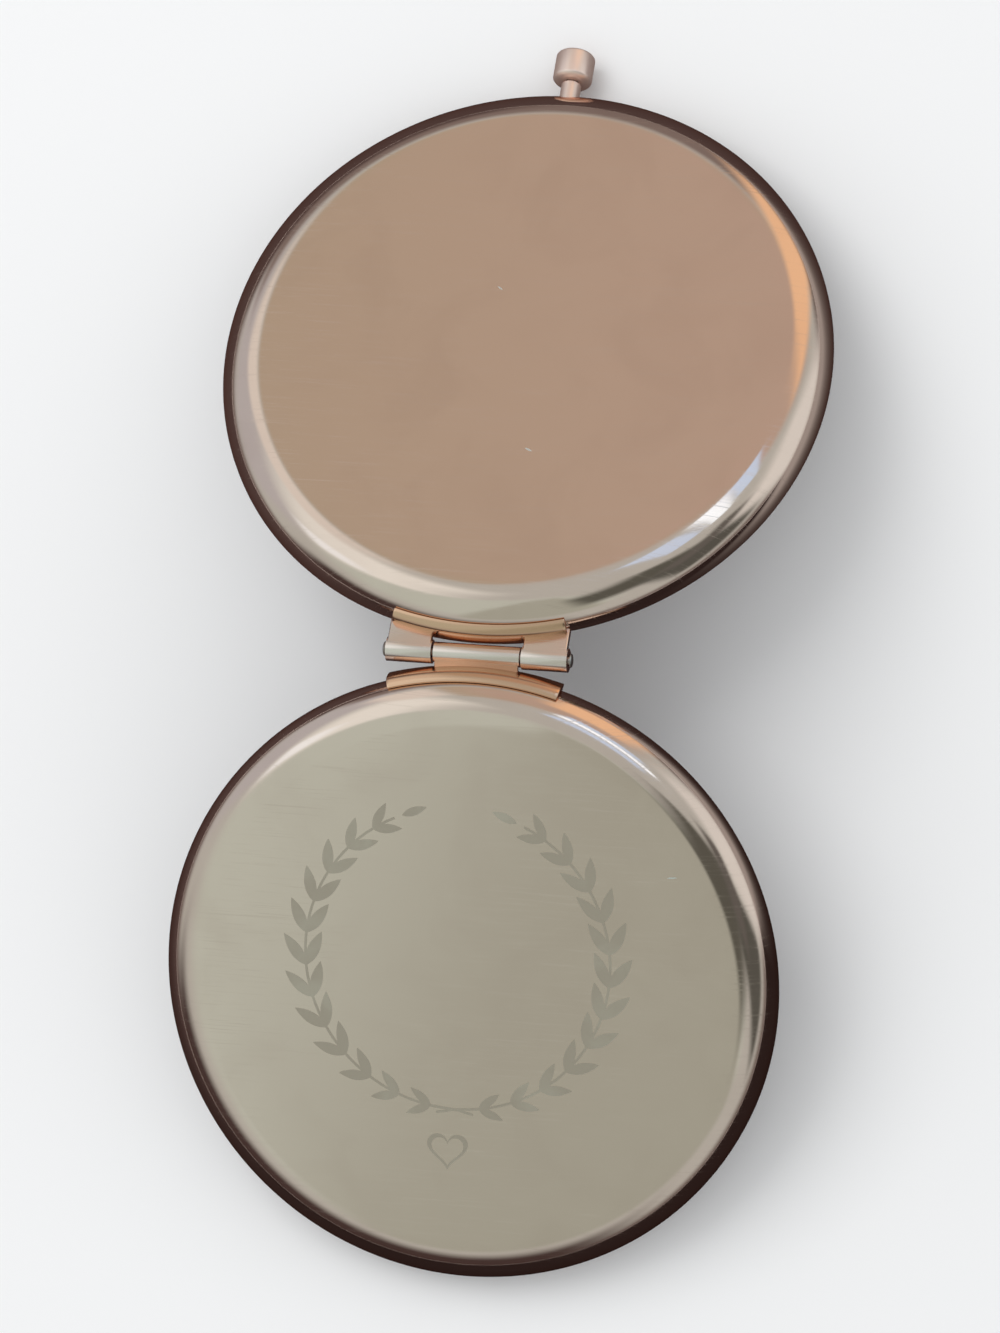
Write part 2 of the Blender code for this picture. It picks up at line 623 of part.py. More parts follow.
def make_catch(name, frame):
    """Tongue with an inward barb on a foot that is riveted behind the lid's ring."""
    inset = FOOT_THICKNESS / 4
    across = (-FOOT_HALF_WIDTH, FOOT_HALF_WIDTH)
    foot = far_box(-1, across, (FOOT_INNER, FOOT_OUTER), (FOOT_FRONT, FOOT_BACK))
    catch = add_object(name, block_mesh(name, [foot]), frame, satin_steel)
    across = (-TONGUE_HALF_WIDTH, TONGUE_HALF_WIDTH)
    height = (-TONGUE_REACH, FOOT_BACK - inset)
    tongue = far_box(-1, across, (TONGUE_INNER, TONGUE_OUTER), height)
    combine_blocks(catch, "_tongue", [tongue], frame, "UNION")
    barb = far_box(-1, across, (BARB_TIP, TONGUE_OUTER), (-TONGUE_REACH, -BARB_FRONT))
    combine_blocks(catch, "_barb", [barb], frame, "UNION")
    cut_rivet_holes(catch, -1, frame)
    return catch


def make_rivet_pair(names, frame, side):
    """Two rivets through the ring's land and the foot behind it, each turned about its own axis."""
    front = LAND_FRONT - FOOT_GAP
    back = FOOT_BACK + FOOT_GAP
    outline = [
        (0.0, back + RIVET_HEAD_THICKNESS),
        (RIVET_HEAD_RADIUS, back + RIVET_HEAD_THICKNESS),
        (RIVET_HEAD_RADIUS, back),
        (RIVET_RADIUS, back),
        (RIVET_RADIUS, front),
        (RIVET_HEAD_RADIUS, front),
        (RIVET_HEAD_RADIUS, front - RIVET_HEAD_THICKNESS),
        (0.0, front - RIVET_HEAD_THICKNESS),
    ]
    y = side * (HINGE_OFFSET + RIVET_LINE)
    for name, x in zip(names, (-RIVET_OFFSET, RIVET_OFFSET)):
        turned(name, outline, frame, satin_steel, (x, y, 0.0), steps=SMALL_STEPS)


def build():
    base = make_frame("base_frame", (0.0, 0.0, HINGE_HEIGHT), -BASE_TILT)
    lid = make_frame("lid_frame", (0.0, 0.0, 0.0), BASE_TILT + LID_TILT, base)
    button = make_frame("button_frame", (0.0, HINGE_OFFSET, STEM_HEIGHT), 0.0, base)

    cut_stem_passage(make_cover("base_cover", base, 1), base)
    cut_stem_passage(make_mirror_frame("base_mirror_frame", base, 1), base)
    make_flat_mirror("base_mirror", base, 1)
    make_pad("base_mirror_pad", base, 1, hollowed=False)
    make_spacer("base_spacer_disc", base, 1)
    outer = (OUTER_KNUCKLE_START, OUTER_KNUCKLE_END)
    mirrored = (-OUTER_KNUCKLE_END, -OUTER_KNUCKLE_START)
    make_leaf("base_hinge_leaf", base, 1, OUTER_KNUCKLE_RADIUS, [mirrored, outer])
    make_pin("hinge_pin", base)
    make_guide("latch_guide", base)
    make_rivet_pair(("latch_guide_rivet_left", "latch_guide_rivet_right"), base, 1)
    make_spring("latch_spring", base)

    make_button_cap("button_cap", button)
    make_button_stem("button_stem", button)
    make_slider("latch_slider", button)

    make_cover("lid_cover", lid, -1)
    make_mirror_frame("lid_mirror_frame", lid, -1)
    make_magnifying_mirror("lid_mirror", lid, -1)
    make_pad("lid_mirror_pad", lid, -1, hollowed=True)
    make_spacer("lid_spacer_disc", lid, -1)
    middle = (-MIDDLE_KNUCKLE_END, MIDDLE_KNUCKLE_END)
    make_leaf("lid_hinge_leaf", lid, -1, MIDDLE_KNUCKLE_RADIUS, [middle])
    make_catch("lid_catch", lid)
    make_rivet_pair(("lid_catch_rivet_left", "lid_catch_rivet_right"), lid, -1)
    return base


def centre_on_origin(base):
    """Slides the whole part along Y, so that the origin lies under the middle of its box."""
    bpy.context.view_layer.update()
    graph = bpy.context.evaluated_depsgraph_get()
    reach = []
    for piece in parts.objects:
        if piece.type == "MESH":
            solid = piece.evaluated_get(graph)
            reach += [(solid.matrix_world @ v.co).y for v in solid.data.vertices]
    base.location.y -= (min(reach) + max(reach)) / 2
    bpy.context.view_layer.update()


base_frame = build()
centre_on_origin(base_frame)
sizes = (DISC_RADIUS, COVER_HEIGHT, HINGE_OFFSET)
print("disc radius, cover height, hinge offset, mm:", [round(v * 1e3, 3) for v in sizes])
print("base tilt, lid tilt, degrees:", [round(math.degrees(v), 3) for v in (BASE_TILT, LID_TILT)])
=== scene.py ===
import json
import math

import bmesh
import bpy
from mathutils import Matrix, Vector


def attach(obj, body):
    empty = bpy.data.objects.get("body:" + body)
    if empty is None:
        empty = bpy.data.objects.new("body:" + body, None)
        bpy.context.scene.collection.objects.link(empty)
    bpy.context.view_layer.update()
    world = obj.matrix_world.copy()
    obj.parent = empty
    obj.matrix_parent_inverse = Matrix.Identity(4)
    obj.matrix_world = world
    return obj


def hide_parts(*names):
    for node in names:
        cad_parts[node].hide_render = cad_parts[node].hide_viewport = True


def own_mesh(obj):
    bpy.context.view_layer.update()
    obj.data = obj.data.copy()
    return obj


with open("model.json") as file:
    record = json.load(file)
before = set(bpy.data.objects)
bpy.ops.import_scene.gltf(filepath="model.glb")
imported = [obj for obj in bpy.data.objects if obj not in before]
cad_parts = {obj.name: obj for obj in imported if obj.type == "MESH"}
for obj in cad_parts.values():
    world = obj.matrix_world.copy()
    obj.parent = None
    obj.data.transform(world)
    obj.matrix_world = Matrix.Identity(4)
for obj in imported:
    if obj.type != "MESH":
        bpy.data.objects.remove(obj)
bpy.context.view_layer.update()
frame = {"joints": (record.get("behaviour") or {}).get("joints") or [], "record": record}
mm = 0.001
fullTurn = math.tau
quarterTurn = math.pi / 2
weldDistance = 0.0005  # mm
nearEnough = 0.01  # mm

# Where the hinge line lies and how far each half leans, as the frame has it
hinge = next(j for j in frame["joints"] if j["name"] == "lid_hinge")
hingePoint = Vector(hinge["pos_m"])
flats = {m["name"]: Vector(m["axis"]) for m in frame["record"]["mounts"]}


def leanOf(flatName):
    return math.atan2(-flats[flatName].y, flats[flatName].z)


baseHalf = {"name": "base", "lean": leanOf("base_outer_flat"), "side": 1}
lidHalf = {"name": "lid", "lean": leanOf("lid_outer_flat"), "side": -1}
hingeToMiddle = 37.0  # hinge line to the middle of each disc, mm


# Modelling steps that every piece uses

def dropSelection():
    if bpy.context.object and bpy.context.object.mode != "OBJECT":
        bpy.ops.object.mode_set(mode="OBJECT")
    bpy.ops.object.select_all(action="DESELECT")


def pickUp(piece):
    dropSelection()
    piece.select_set(True)
    bpy.context.view_layer.objects.active = piece


def openEdit(piece, kind="VERT"):
    pickUp(piece)
    bpy.ops.object.mode_set(mode="EDIT")
    bpy.ops.mesh.select_mode(type=kind)
    bpy.ops.mesh.select_all(action="DESELECT")


def selectFaces(piece, wanted):
    # selects the faces whose middle and normal pass the test, in edit mode
    mesh = bmesh.from_edit_mesh(piece.data)
    for face in mesh.faces:
        face.select_set(wanted(face.calc_center_median(), face.normal))
    bmesh.update_edit_mesh(piece.data)


def selectEdges(piece, wanted):
    mesh = bmesh.from_edit_mesh(piece.data)
    for edge in mesh.edges:
        a, b = (v.co for v in edge.verts)
        edge.select_set(wanted((a + b) / 2, b - a))
    bmesh.update_edit_mesh(piece.data)


def closeEdit():
    bpy.ops.object.mode_set(mode="OBJECT")


def tidyFaces(piece):
    openEdit(piece)
    selectAll()
    bpy.ops.mesh.remove_doubles(threshold=weldDistance * mm)
    bpy.ops.mesh.normals_make_consistent(inside=False)
    closeEdit()


def quarterSteps(steps):
    # even turns from 0 to a quarter
    return [quarterTurn * i / steps for i in range(steps + 1)]


def evenSteps(reach, steps):
    return [reach * (i / steps) for i in range(steps + 1)]


def domeCurve(radius, start, rise, steps=6):
    # a low dome from its rim to its top, as (radius, height)
    turns = quarterSteps(steps)[1:]
    return [(radius * math.cos(turn), start + rise * math.sin(turn)) for turn in turns]


def applyStep(piece, step):
    pickUp(piece)
    bpy.ops.object.modifier_apply(modifier=step.name)


def roundEdges(piece, width, segments, angle):
    # the edges that are sharper than the angle, width in mm
    step = piece.modifiers.new("roundEdges", "BEVEL")
    step.width = width * mm
    step.segments = segments
    step.limit_method = "ANGLE"
    step.angle_limit = math.radians(angle)
    step.use_clamp_overlap = True
    applyStep(piece, step)


def cutWith(piece, tool, operation="DIFFERENCE"):
    step = piece.modifiers.new("cut", "BOOLEAN")
    step.operation = operation
    step.solver = "EXACT"
    step.object = tool
    applyStep(piece, step)
    bpy.data.objects.remove(tool, do_unlink=True)


def justAdded(name):
    # the object that the last step made
    piece = bpy.context.object
    piece.name = name
    return piece


def applyPlace(piece):
    pickUp(piece)
    bpy.ops.object.transform_apply(location=True, rotation=True, scale=True)


def selectAll():
    bpy.ops.mesh.select_all(action="SELECT")


def drawOutline(name, points, closed=False):
    # one vertex walked along the outline, in mm
    dropSelection()
    bpy.ops.mesh.primitive_plane_add(size=mm, location=(0, 0, 0))
    piece = justAdded(name)
    bpy.ops.object.mode_set(mode="EDIT")
    bpy.ops.mesh.select_mode(type="VERT")
    selectAll()
    bpy.ops.mesh.merge(type="CENTER")
    path = [Vector(p) * mm for p in points]
    bpy.ops.transform.translate(value=path[0])
    for here, there in zip(path, path[1:]):
        bpy.ops.mesh.extrude_region_move(TRANSFORM_OT_translate={"value": there - here})
    if closed:
        selectAll()
        bpy.ops.mesh.edge_face_add()
    return piece


def spinRound(piece, steps, middle=(0, 0, 0), axis=(0, 0, 1)):
    selectAll()
    centre = Vector(middle) * mm
    bpy.ops.mesh.spin(steps=steps, angle=fullTurn, center=centre, axis=axis)
    closeEdit()
    tidyFaces(piece)


def turnPiece(name, outline, half, steps):
    # a round piece about the middle of one half, from (radius, height) in mm
    y = half["side"] * hingeToMiddle
    piece = drawOutline(name, [(r, y, z) for r, z in outline])
    spinRound(piece, steps, (0, y, 0))
    return piece


def seatPiece(piece, half):
    # leans a finished piece with its half and sets it on the hinge line
    piece.rotation_euler[0] = half["lean"]
    piece.location = hingePoint
    applyPlace(piece)


def addBlock(name, low, high):
    # a cube primitive at its size and place, corners in mm
    dropSelection()
    low, high = Vector(low) * mm, Vector(high) * mm
    bpy.ops.mesh.primitive_cube_add(size=1, location=(low + high) / 2, scale=high - low)
    piece = justAdded(name)
    applyPlace(piece)
    return piece


def addRod(name, radius, start, end, sides=64):
    # a cylinder primitive between two points, in mm
    dropSelection()
    start, end = Vector(start) * mm, Vector(end) * mm
    along = end - start
    bpy.ops.mesh.primitive_cylinder_add(
        vertices=sides,
        radius=radius * mm,
        depth=along.length,
        location=(start + end) / 2,
        rotation=along.to_track_quat("Z", "Y").to_euler(),
    )
    piece = justAdded(name)
    applyPlace(piece)
    return piece


def joinPieces(pieces):
    pickUp(pieces[0])
    for other in pieces[1:]:
        other.select_set(True)
    bpy.ops.object.join()
    return pieces[0]


def copyPiece(piece):
    copy = piece.copy()
    copy.data = piece.data.copy()
    bpy.context.collection.objects.link(copy)
    return copy


def paint(piece, *materials):
    piece.data.materials.clear()
    for material in materials:
        piece.data.materials.append(material)


def finishPiece(piece, smooth, half, material, slotName, *nodes, body=None):
    # smooth up to an angle, in its place, painted and given to its body
    pickUp(piece)
    bpy.ops.object.shade_smooth_by_angle(angle=math.radians(smooth))
    seatPiece(piece, half)
    if material:
        paint(piece, material)
    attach(piece, body or half["name"])
    if nodes:
        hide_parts(*nodes)


# Effects that several finishes share

def newEffect(name, **numbers):
    # a group that makes a mask from a vector and some numbers
    effect = bpy.data.node_groups.new(name, "ShaderNodeTree")
    addSocket = effect.interface.new_socket
    addSocket(name="Vector", in_out="INPUT", socket_type="NodeSocketVector")
    for label, value in numbers.items():
        number = addSocket(name=label, in_out="INPUT", socket_type="NodeSocketFloat")
        number.default_value = value
    addSocket(name="Mask", in_out="OUTPUT", socket_type="NodeSocketFloat")
    given = effect.nodes.new("NodeGroupInput").outputs
    return effect, given, effect.nodes.new("NodeGroupOutput").inputs["Mask"]


def feed(socket, value):
    # a link from another node, a colour or a plain value
    if isinstance(value, bpy.types.NodeSocket):
        socket.id_data.links.new(value, socket)
    else:
        socket.default_value = (*value, 1) if socket.type == "RGBA" else value


def feedAll(node, values):
    for label, value in values.items():
        feed(node.inputs[label], value)


def addNode(tree, kind, values=None, **settings):
    node = tree.nodes.new(kind)
    for key, setting in settings.items():
        setattr(node, key, setting)
    feedAll(node, values or {})
    return node


def addNoise(tree, vector, scale, detail, roughness):
    values = {"Vector": vector, "Scale": scale, "Detail": detail, "Roughness": roughness}
    return addNode(tree, "ShaderNodeTexNoise", values).outputs["Fac"]


def stretchPoint(tree, point, scale, turn=0):
    # coordinates drawn out along a grain
    values = {"Vector": point, "Rotation": (0, 0, math.radians(turn)), "Scale": scale}
    return addNode(tree, "ShaderNodeMapping", values).outputs["Vector"]


def remap(tree, value, low, high, toLow=0.0, toHigh=1.0):
    values = {"Value": value, "From Min": low, "From Max": high, "To Min": toLow, "To Max": toHigh}
    node = addNode(tree, "ShaderNodeMapRange", values, interpolation_type="SMOOTHSTEP")
    return node.outputs["Result"]


def combineValues(tree, a, b, operation):
    return addNode(tree, "ShaderNodeMath", {0: a, 1: b}, operation=operation).outputs[0]


def lengthOf(tree, vector):
    return addNode(tree, "ShaderNodeVectorMath", {0: vector}, operation="LENGTH").outputs["Value"]


def splitVector(tree, vector):
    return addNode(tree, "ShaderNodeSeparateXYZ", {0: vector}).outputs


# Turn of each run of hairlines and how fine it is across
hairlines = {
    "runs": ((12, 9000), (74, 7000), (133, 11000)),
    "along": 110,
    "noise": (1.0, 1.0, 0.5),  # scale, detail and roughness, as in each finish
    "edge": (0.66, 0.74),
}
smudges = {"size": 90.0, "detail": 4.0, "distortion": 0.6, "edge": (0.42, 0.72)}


def makeFineScratches():
    # hairline marks in three directions
    tree, given, mask = newEffect("fineScratches", Amount=1.0)
    lines = None
    for turn, across in hairlines["runs"]:
        scale = (hairlines["along"], across, hairlines["along"])
        point = stretchPoint(tree, given["Vector"], scale, turn)
        line = remap(tree, addNoise(tree, point, *hairlines["noise"]), *hairlines["edge"])
        lines = line if lines is None else combineValues(tree, lines, line, "MAXIMUM")
    feed(mask, combineValues(tree, lines, given["Amount"], "MULTIPLY"))
    return tree


def makeHandSmudges():
    # soft cloudy marks from handling
    tree, given, mask = newEffect("handSmudges", Size=smudges["size"])
    values = {"Vector": given["Vector"], "Scale": given["Size"]}
    values |= {"Detail": smudges["detail"], "Distortion": smudges["distortion"]}
    cloud = addNode(tree, "ShaderNodeTexNoise", values)
    feed(mask, remap(tree, cloud.outputs["Fac"], *smudges["edge"]))
    return tree


fineScratches = makeFineScratches()
handSmudges = makeHandSmudges()


def makeFinish(name, lay, *given, **choices):
    # a new material with one of the finishes below laid on its shader
    material = bpy.data.materials.new(name)
    material.use_nodes = True
    tree = material.node_tree
    lay(tree, tree.nodes["Principled BSDF"], *given, **choices)
    return material


def objectPoint(tree, half=None):
    # Object coordinates, brought into the upright frame of one half where it is given
    point = addNode(tree, "ShaderNodeTexCoord").outputs["Object"]
    if half is None:
        return point
    values = {"Vector": point, "Location": hingePoint, "Rotation": (half["lean"], 0, 0)}
    return addNode(tree, "ShaderNodeMapping", values, vector_type="TEXTURE").outputs["Vector"]


def useEffect(tree, effect, vector, **values):
    values["Vector"] = vector
    return addNode(tree, "ShaderNodeGroup", values, node_tree=effect).outputs["Mask"]


def blendColour(tree, share, first, second):
    mix = addNode(tree, "ShaderNodeMix", {"Factor": share}, data_type="RGBA")
    sockets = {s.identifier: s for s in mix.inputs}
    feed(sockets["A_Color"], first)
    feed(sockets["B_Color"], second)
    return next(s for s in mix.outputs if s.identifier == "Result_Color")


def addBump(tree, shader, height, depth, strength=1.0):
    values = {"Height": height, "Distance": depth * mm, "Strength": strength}
    feed(shader.inputs["Normal"], addNode(tree, "ShaderNodeBump", values).outputs["Normal"])


def layRoughness(tree, shader, total, *layers):
    # one roughness, and more of it where each mask is bright
    for mask, amount in layers:
        share = combineValues(tree, mask, amount, "MULTIPLY")
        total = combineValues(tree, share, total, "ADD")
    feed(shader.inputs["Roughness"], total)


def layLook(tree, shader, look, colourMask, roughMask):
    # two colours by one mask and two roughnesses by another
    tint = blendColour(tree, colourMask, look["colour"], look["pale"])
    rough = remap(tree, roughMask, *look["roughFrom"], *look["roughness"])
    feedAll(shader, {"Base Color": tint, "Roughness": rough})


roseGold = {
    "colour": (0.87, 0.66, 0.55),
    "worn": (0.835, 0.628, 0.522),
    "edgeTint": (0.78, 0.58, 0.52),
    "smudgeSize": 85.0, "smudgeRoughness": 0.03,
    "scratchRoughness": 0.14, "scratchDepth": 0.0006, "scratchStrength": 0.35,
    "nick": (0.93, 0.90, 0.86), "nickRoughness": 0.5, "nickEdge": (0.6, 1.1),
}
# painted light: the knob's plating is a paler, less metallic copy of the rose gold, so the knob
# renders brighter than the covers
litKnobPlating = {"rough": 0.34, "scratches": 0.4, "plating": (0.98, 0.76, 0.66), "metal": 0.72}
# painted light: the knuckles' plating is a paler copy of the rose gold, so the knuckles render pale
litKnucklePlating = {"rough": 0.2, "scratches": 0.5, "plating": (0.94, 0.76, 0.67)}
# painted shade: the leaf bands' plating is a darker, more copper copy of the rose gold, for the
# shade and warm reflection they sit in
shadedLeafPlating = {"rough": 0.16, "scratches": 0.6, "plating": (0.80, 0.48, 0.31)}
# Small nicks in the plating: place from the hinge line in mm, size and turn
baseNicks = [((-3.5, 44.1), (0.42, 0.1), -35), ((2.9, 23.5), (0.5, 0.13), -24)]
lidNicks = [((23.4, -22.6), (0.6, 0.08), 6)]
flatHeight = 5.0  # of the outer faces over the glass side, mm


def addNicks(tree, point, nicks):
    # one small oval mask for each nick
    mask = None
    for (x, y), (long, wide), turn in nicks:
        values = {
            "Vector": point,
            "Location": Vector((x, y, flatHeight)) * mm,
            "Rotation": (0, 0, math.radians(turn)),
            "Scale": Vector((long, wide, 1.0)) * mm,
        }
        spot = addNode(tree, "ShaderNodeMapping", values, vector_type="TEXTURE")
        reach = lengthOf(tree, spot.outputs["Vector"])
        oval = remap(tree, reach, *roseGold["nickEdge"], 1.0, 0.0)
        mask = oval if mask is None else combineValues(tree, mask, oval, "MAXIMUM")
    return mask


def layRoseGold(
    tree, shader, half=None, rough=0.08, scratches=1.0, nicks=(), plating=None, metal=1.0
):
    g = roseGold
    point = objectPoint(tree, half)
    hairs = useEffect(tree, fineScratches, point, Amount=scratches)
    smudge = useEffect(tree, handSmudges, point, Size=g["smudgeSize"])
    # a given plating colour replaces the rose gold: paler on the knob and knuckles as painted
    # light, darker on the leaf as painted shade
    tint = blendColour(tree, smudge, plating or g["colour"], plating or g["worn"])
    layers = [(smudge, g["smudgeRoughness"]), (hairs, g["scratchRoughness"])]
    if nicks:
        spots = addNicks(tree, point, nicks)
        tint = blendColour(tree, spots, tint, g["nick"])
        layers.append((spots, g["nickRoughness"]))
    layRoughness(tree, shader, rough, *layers)
    addBump(tree, shader, hairs, g["scratchDepth"], g["scratchStrength"])
    feedAll(shader, {"Base Color": tint, "Metallic": metal, "Specular Tint": g["edgeTint"]})


steelLook = {
    "colour": (0.62, 0.60, 0.57),
    "dull": (0.50, 0.48, 0.45),
    "smudgeSize": 240.0,
    "grain": (9000, 500, 9000),
    "noise": (1.0, 3.0, 0.6),
    "roughness": 0.24,
    "grainRoughness": 0.18, "grainDepth": 0.002, "grainStrength": 0.5,
}


def layBrushedSteel(tree, shader, look):
    # sheet steel with a fine rolled grain along its length
    point = objectPoint(tree)
    grain = addNoise(tree, stretchPoint(tree, point, look["grain"]), *look["noise"])
    smudge = useEffect(tree, handSmudges, point, Size=look["smudgeSize"])
    tint = blendColour(tree, smudge, look["colour"], look["dull"])
    layRoughness(tree, shader, look["roughness"], (grain, look["grainRoughness"]))
    addBump(tree, shader, grain, look["grainDepth"], look["grainStrength"])
    feedAll(shader, {"Base Color": tint, "Metallic": 1.0})


glassLook = {
    "silver": (0.88, 0.90, 0.89),
    "haze": (0.80, 0.82, 0.81),
    "smudgeSize": 60.0,
    "scratches": 0.5,
    "roughness": 0.012,
    "hazeRoughness": 0.05,
    "scratchRoughness": 0.08,
    "coat": 0.4, "coatRoughness": 0.01,
}


def layMirrorGlass(tree, shader, look):
    # silvered glass with a trace of fingerprints and hairlines
    point = objectPoint(tree)
    smudge = useEffect(tree, handSmudges, point, Size=look["smudgeSize"])
    hairs = useEffect(tree, fineScratches, point, Amount=look["scratches"])
    tint = blendColour(tree, smudge, look["silver"], look["haze"])
    layers = [(smudge, look["hazeRoughness"]), (hairs, look["scratchRoughness"])]
    layRoughness(tree, shader, look["roughness"], *layers)
    coat = {"Coat Weight": look["coat"], "Coat Roughness": look["coatRoughness"]}
    feedAll(shader, {"Base Color": tint, "Metallic": 1.0, **coat})


groundLook = {
    "colour": (0.62, 0.72, 0.68),
    "pale": (0.78, 0.84, 0.81),
    "noise": (5200.0, 3.0, 0.65),
    "patches": (0.35, 0.7),
    "roughFrom": (0.3, 0.7),
    "roughness": (0.38, 0.62),
    "depth": 0.01,
    "strength": 0.6,
    "bending": 1.5,
}


def layGroundEdge(tree, shader, look):
    # the rubbed, milky edge of cut glass
    grit = addNoise(tree, objectPoint(tree), *look["noise"])
    layLook(tree, shader, look, remap(tree, grit, *look["patches"]), grit)
    addBump(tree, shader, grit, look["depth"], look["strength"])
    feed(shader.inputs["IOR"], look["bending"])


foamLook = {
    "colour": (0.30, 0.30, 0.29),
    "pale": (0.66, 0.65, 0.62),
    "cellSize": 2600.0, "cellEdge": (0.12, 0.55),
    "roughFrom": (0.0, 1.0),
    "roughness": (0.98, 0.86),
    "depth": 0.12,
}


def layFoam(tree, shader, look):
    # open-cell foam: dark little cells in a pale grey skin
    values = {"Vector": objectPoint(tree), "Scale": look["cellSize"]}
    cells = addNode(tree, "ShaderNodeTexVoronoi", values)
    share = remap(tree, cells.outputs["Distance"], *look["cellEdge"])
    layLook(tree, shader, look, share, share)
    addBump(tree, shader, share, look["depth"])


fibreLook = {
    "colour": (0.15, 0.12, 0.09),
    "pale": (0.33, 0.27, 0.20),
    "grain": (700, 3600, 2400), "grainTurn": 27,
    "noise": (1.0, 5.0, 0.7),
    "patches": (0.3, 0.72),
    "roughFrom": (0.0, 1.0),
    "roughness": (0.75, 0.92),
    "depth": 0.06,
}


def layFibre(tree, shader, look):
    # pressed fibre board with short fibres
    along = stretchPoint(tree, objectPoint(tree), look["grain"], look["grainTurn"])
    fibres = addNoise(tree, along, *look["noise"])
    share = remap(tree, fibres, *look["patches"])
    layLook(tree, shader, look, share, share)
    addBump(tree, shader, fibres, look["depth"])


etchLook = {
    "colour": (0.56, 0.455, 0.365),
    "pale": (0.63, 0.53, 0.43),
    "noise": (7000.0, 3.0, 0.7),
    "smudgeSize": 160.0,
    "roughFrom": (0.3, 0.7),
    "roughness": (0.34, 0.52),
    "depth": 0.004,
    "strength": 0.6,
    "metal": 0.85,
}


def layEtchedFrost(tree, shader, look):
    # plating that etching has left matt and a little greenish
    point = objectPoint(tree, lidHalf)
    grit = addNoise(tree, point, *look["noise"])
    cloud = useEffect(tree, handSmudges, point, Size=look["smudgeSize"])
    layLook(tree, shader, look, cloud, grit)
    addBump(tree, shader, grit, look["depth"], look["strength"])
    feed(shader.inputs["Metallic"], look["metal"])


roseGoldBase = makeFinish("roseGoldBase", layRoseGold, baseHalf, nicks=baseNicks)
roseGoldLid = makeFinish("roseGoldLid", layRoseGold, lidHalf, nicks=lidNicks)
litRoseGoldKnob = makeFinish("litRoseGoldKnob", layRoseGold, **litKnobPlating)
litRoseGoldKnuckle = makeFinish("litRoseGoldKnuckle", layRoseGold, **litKnucklePlating)
shadedCopperLeaf = makeFinish("shadedCopperLeaf", layRoseGold, **shadedLeafPlating)
brushedSteel = makeFinish("brushedSteel", layBrushedSteel, steelLook)
mirrorGlass = makeFinish("mirrorGlass", layMirrorGlass, glassLook)
groundEdge = makeFinish("groundGlassEdge", layGroundEdge, groundLook)
paleFoam = makeFinish("paleFoam", layFoam, foamLook)
pressedFibre = makeFinish("pressedFibre", layFibre, fibreLook)
etchedFrost = makeFinish("etchedFrost", layEtchedFrost, etchLook)
print("finishes made")


# Covers: thin pressed dishes with a wide rounded edge

cover = {
    "discRadius": 34.97,
    "flatRadius": 29.8, "flatSteps": (0.3, 0.6, 0.85, 1.0),
    "height": 4.98,
    "wallTop": 0.75,
    "foot": 0.17, "footRound": 0.14,
    "wall": 0.6,
    "fullness": 2.12,  # above 2, the flat runs softly into the round edge
    "edgeSteps": 30,
    "turnSteps": 256,
    "stemHole": 1.4, "stemHoleSpan": (33.0, 37.0),
    "smooth": 38,
}
stemHeight = 2.2  # of the button's line over the glass side, mm


def coverOutline():
    c = cover
    points = [(0.0, c["height"])]
    points += [(c["flatRadius"] * share, c["height"]) for share in c["flatSteps"]]
    reach = c["discRadius"] - c["flatRadius"]
    drop = c["height"] - c["wallTop"]
    for turn in quarterSteps(c["edgeSteps"])[1:]:
        r = c["flatRadius"] + reach * math.sin(turn) ** (2 / c["fullness"])
        z = c["wallTop"] + drop * math.cos(turn) ** (2 / c["fullness"])
        points.append((r, z))
    points.append((c["discRadius"], (c["wallTop"] + c["foot"]) / 2))
    points.append((c["discRadius"], c["foot"] + c["footRound"]))
    points.append((c["discRadius"] - c["footRound"], c["foot"]))
    return points


def makeCover(name, half):
    piece = turnPiece(name, coverOutline(), half, cover["turnSteps"])
    step = piece.modifiers.new("wall", "SOLIDIFY")
    step.thickness = cover["wall"] * mm
    step.offset = -1
    step.use_even_offset = True
    applyStep(piece, step)
    return piece


def cutStemHole(piece, radius, span):
    # a round hole along the button's line, from and to given as distances from the disc's middle
    start, end = ((0, hingeToMiddle + y, stemHeight) for y in span)
    cutWith(piece, addRod("stemTool", radius, start, end))


baseCover = makeCover("baseCover", baseHalf)
cutStemHole(baseCover, cover["stemHole"], cover["stemHoleSpan"])
lidCover = makeCover("lidCover", lidHalf)
finishPiece(baseCover, cover["smooth"], baseHalf, roseGoldBase, "rose_gold", "base_cover")
finishPiece(lidCover, cover["smooth"], lidHalf, roseGoldLid, "rose_gold", "lid_cover")
print("covers pressed")


# Hinge: a curved leaf on each half, webs, rolled knuckles and the pin

hingeShape = {
    "edgeMiddle": (30.5, 0.8),  # of the cover's round edge, which the leaves follow
    "edgeSize": (4.5, 4.2), "edgeSteps": 60,
    "leafGap": 0.03, "leafFoot": 0.35, "leafFade": 1.1,
    "leafTip": 0.12,  # share of the thickness at the leaf's top
    "leafSwell": 0.8, "leafSteps": 56, "leafHalf": 9.95,
    "leafRound": (0.08, 3, 60),  # width, segments and least angle of the edges, as in each rounding
    "webInset": 0.12, "webOverlap": 0.1, "webFoot": 0.43, "webRound": (0.16, 3, 60),
    "boreRadius": 0.65, "boreSides": 48,
    "knuckleSides": 72, "knuckleRound": (0.4, 4, 70),
    "smooth": 40,
}
baseLeafShape = {
    "thickness": 0.77,
    "top": 2.75,
    "webTop": 1.3,
    "knuckleRadius": 1.34,
    "knuckles": ((-10.28, -5.1), (5.1, 10.28)),
}
lidLeafShape = {
    "thickness": 0.8,
    "top": 3.0,
    "webTop": 0.95,
    "knuckleRadius": 1.14,
    "knuckles": ((-4.88, 4.88),),
}
discRadius = 35.0  # mm
overrun = 1.0  # of cutting tools past what they cut, mm


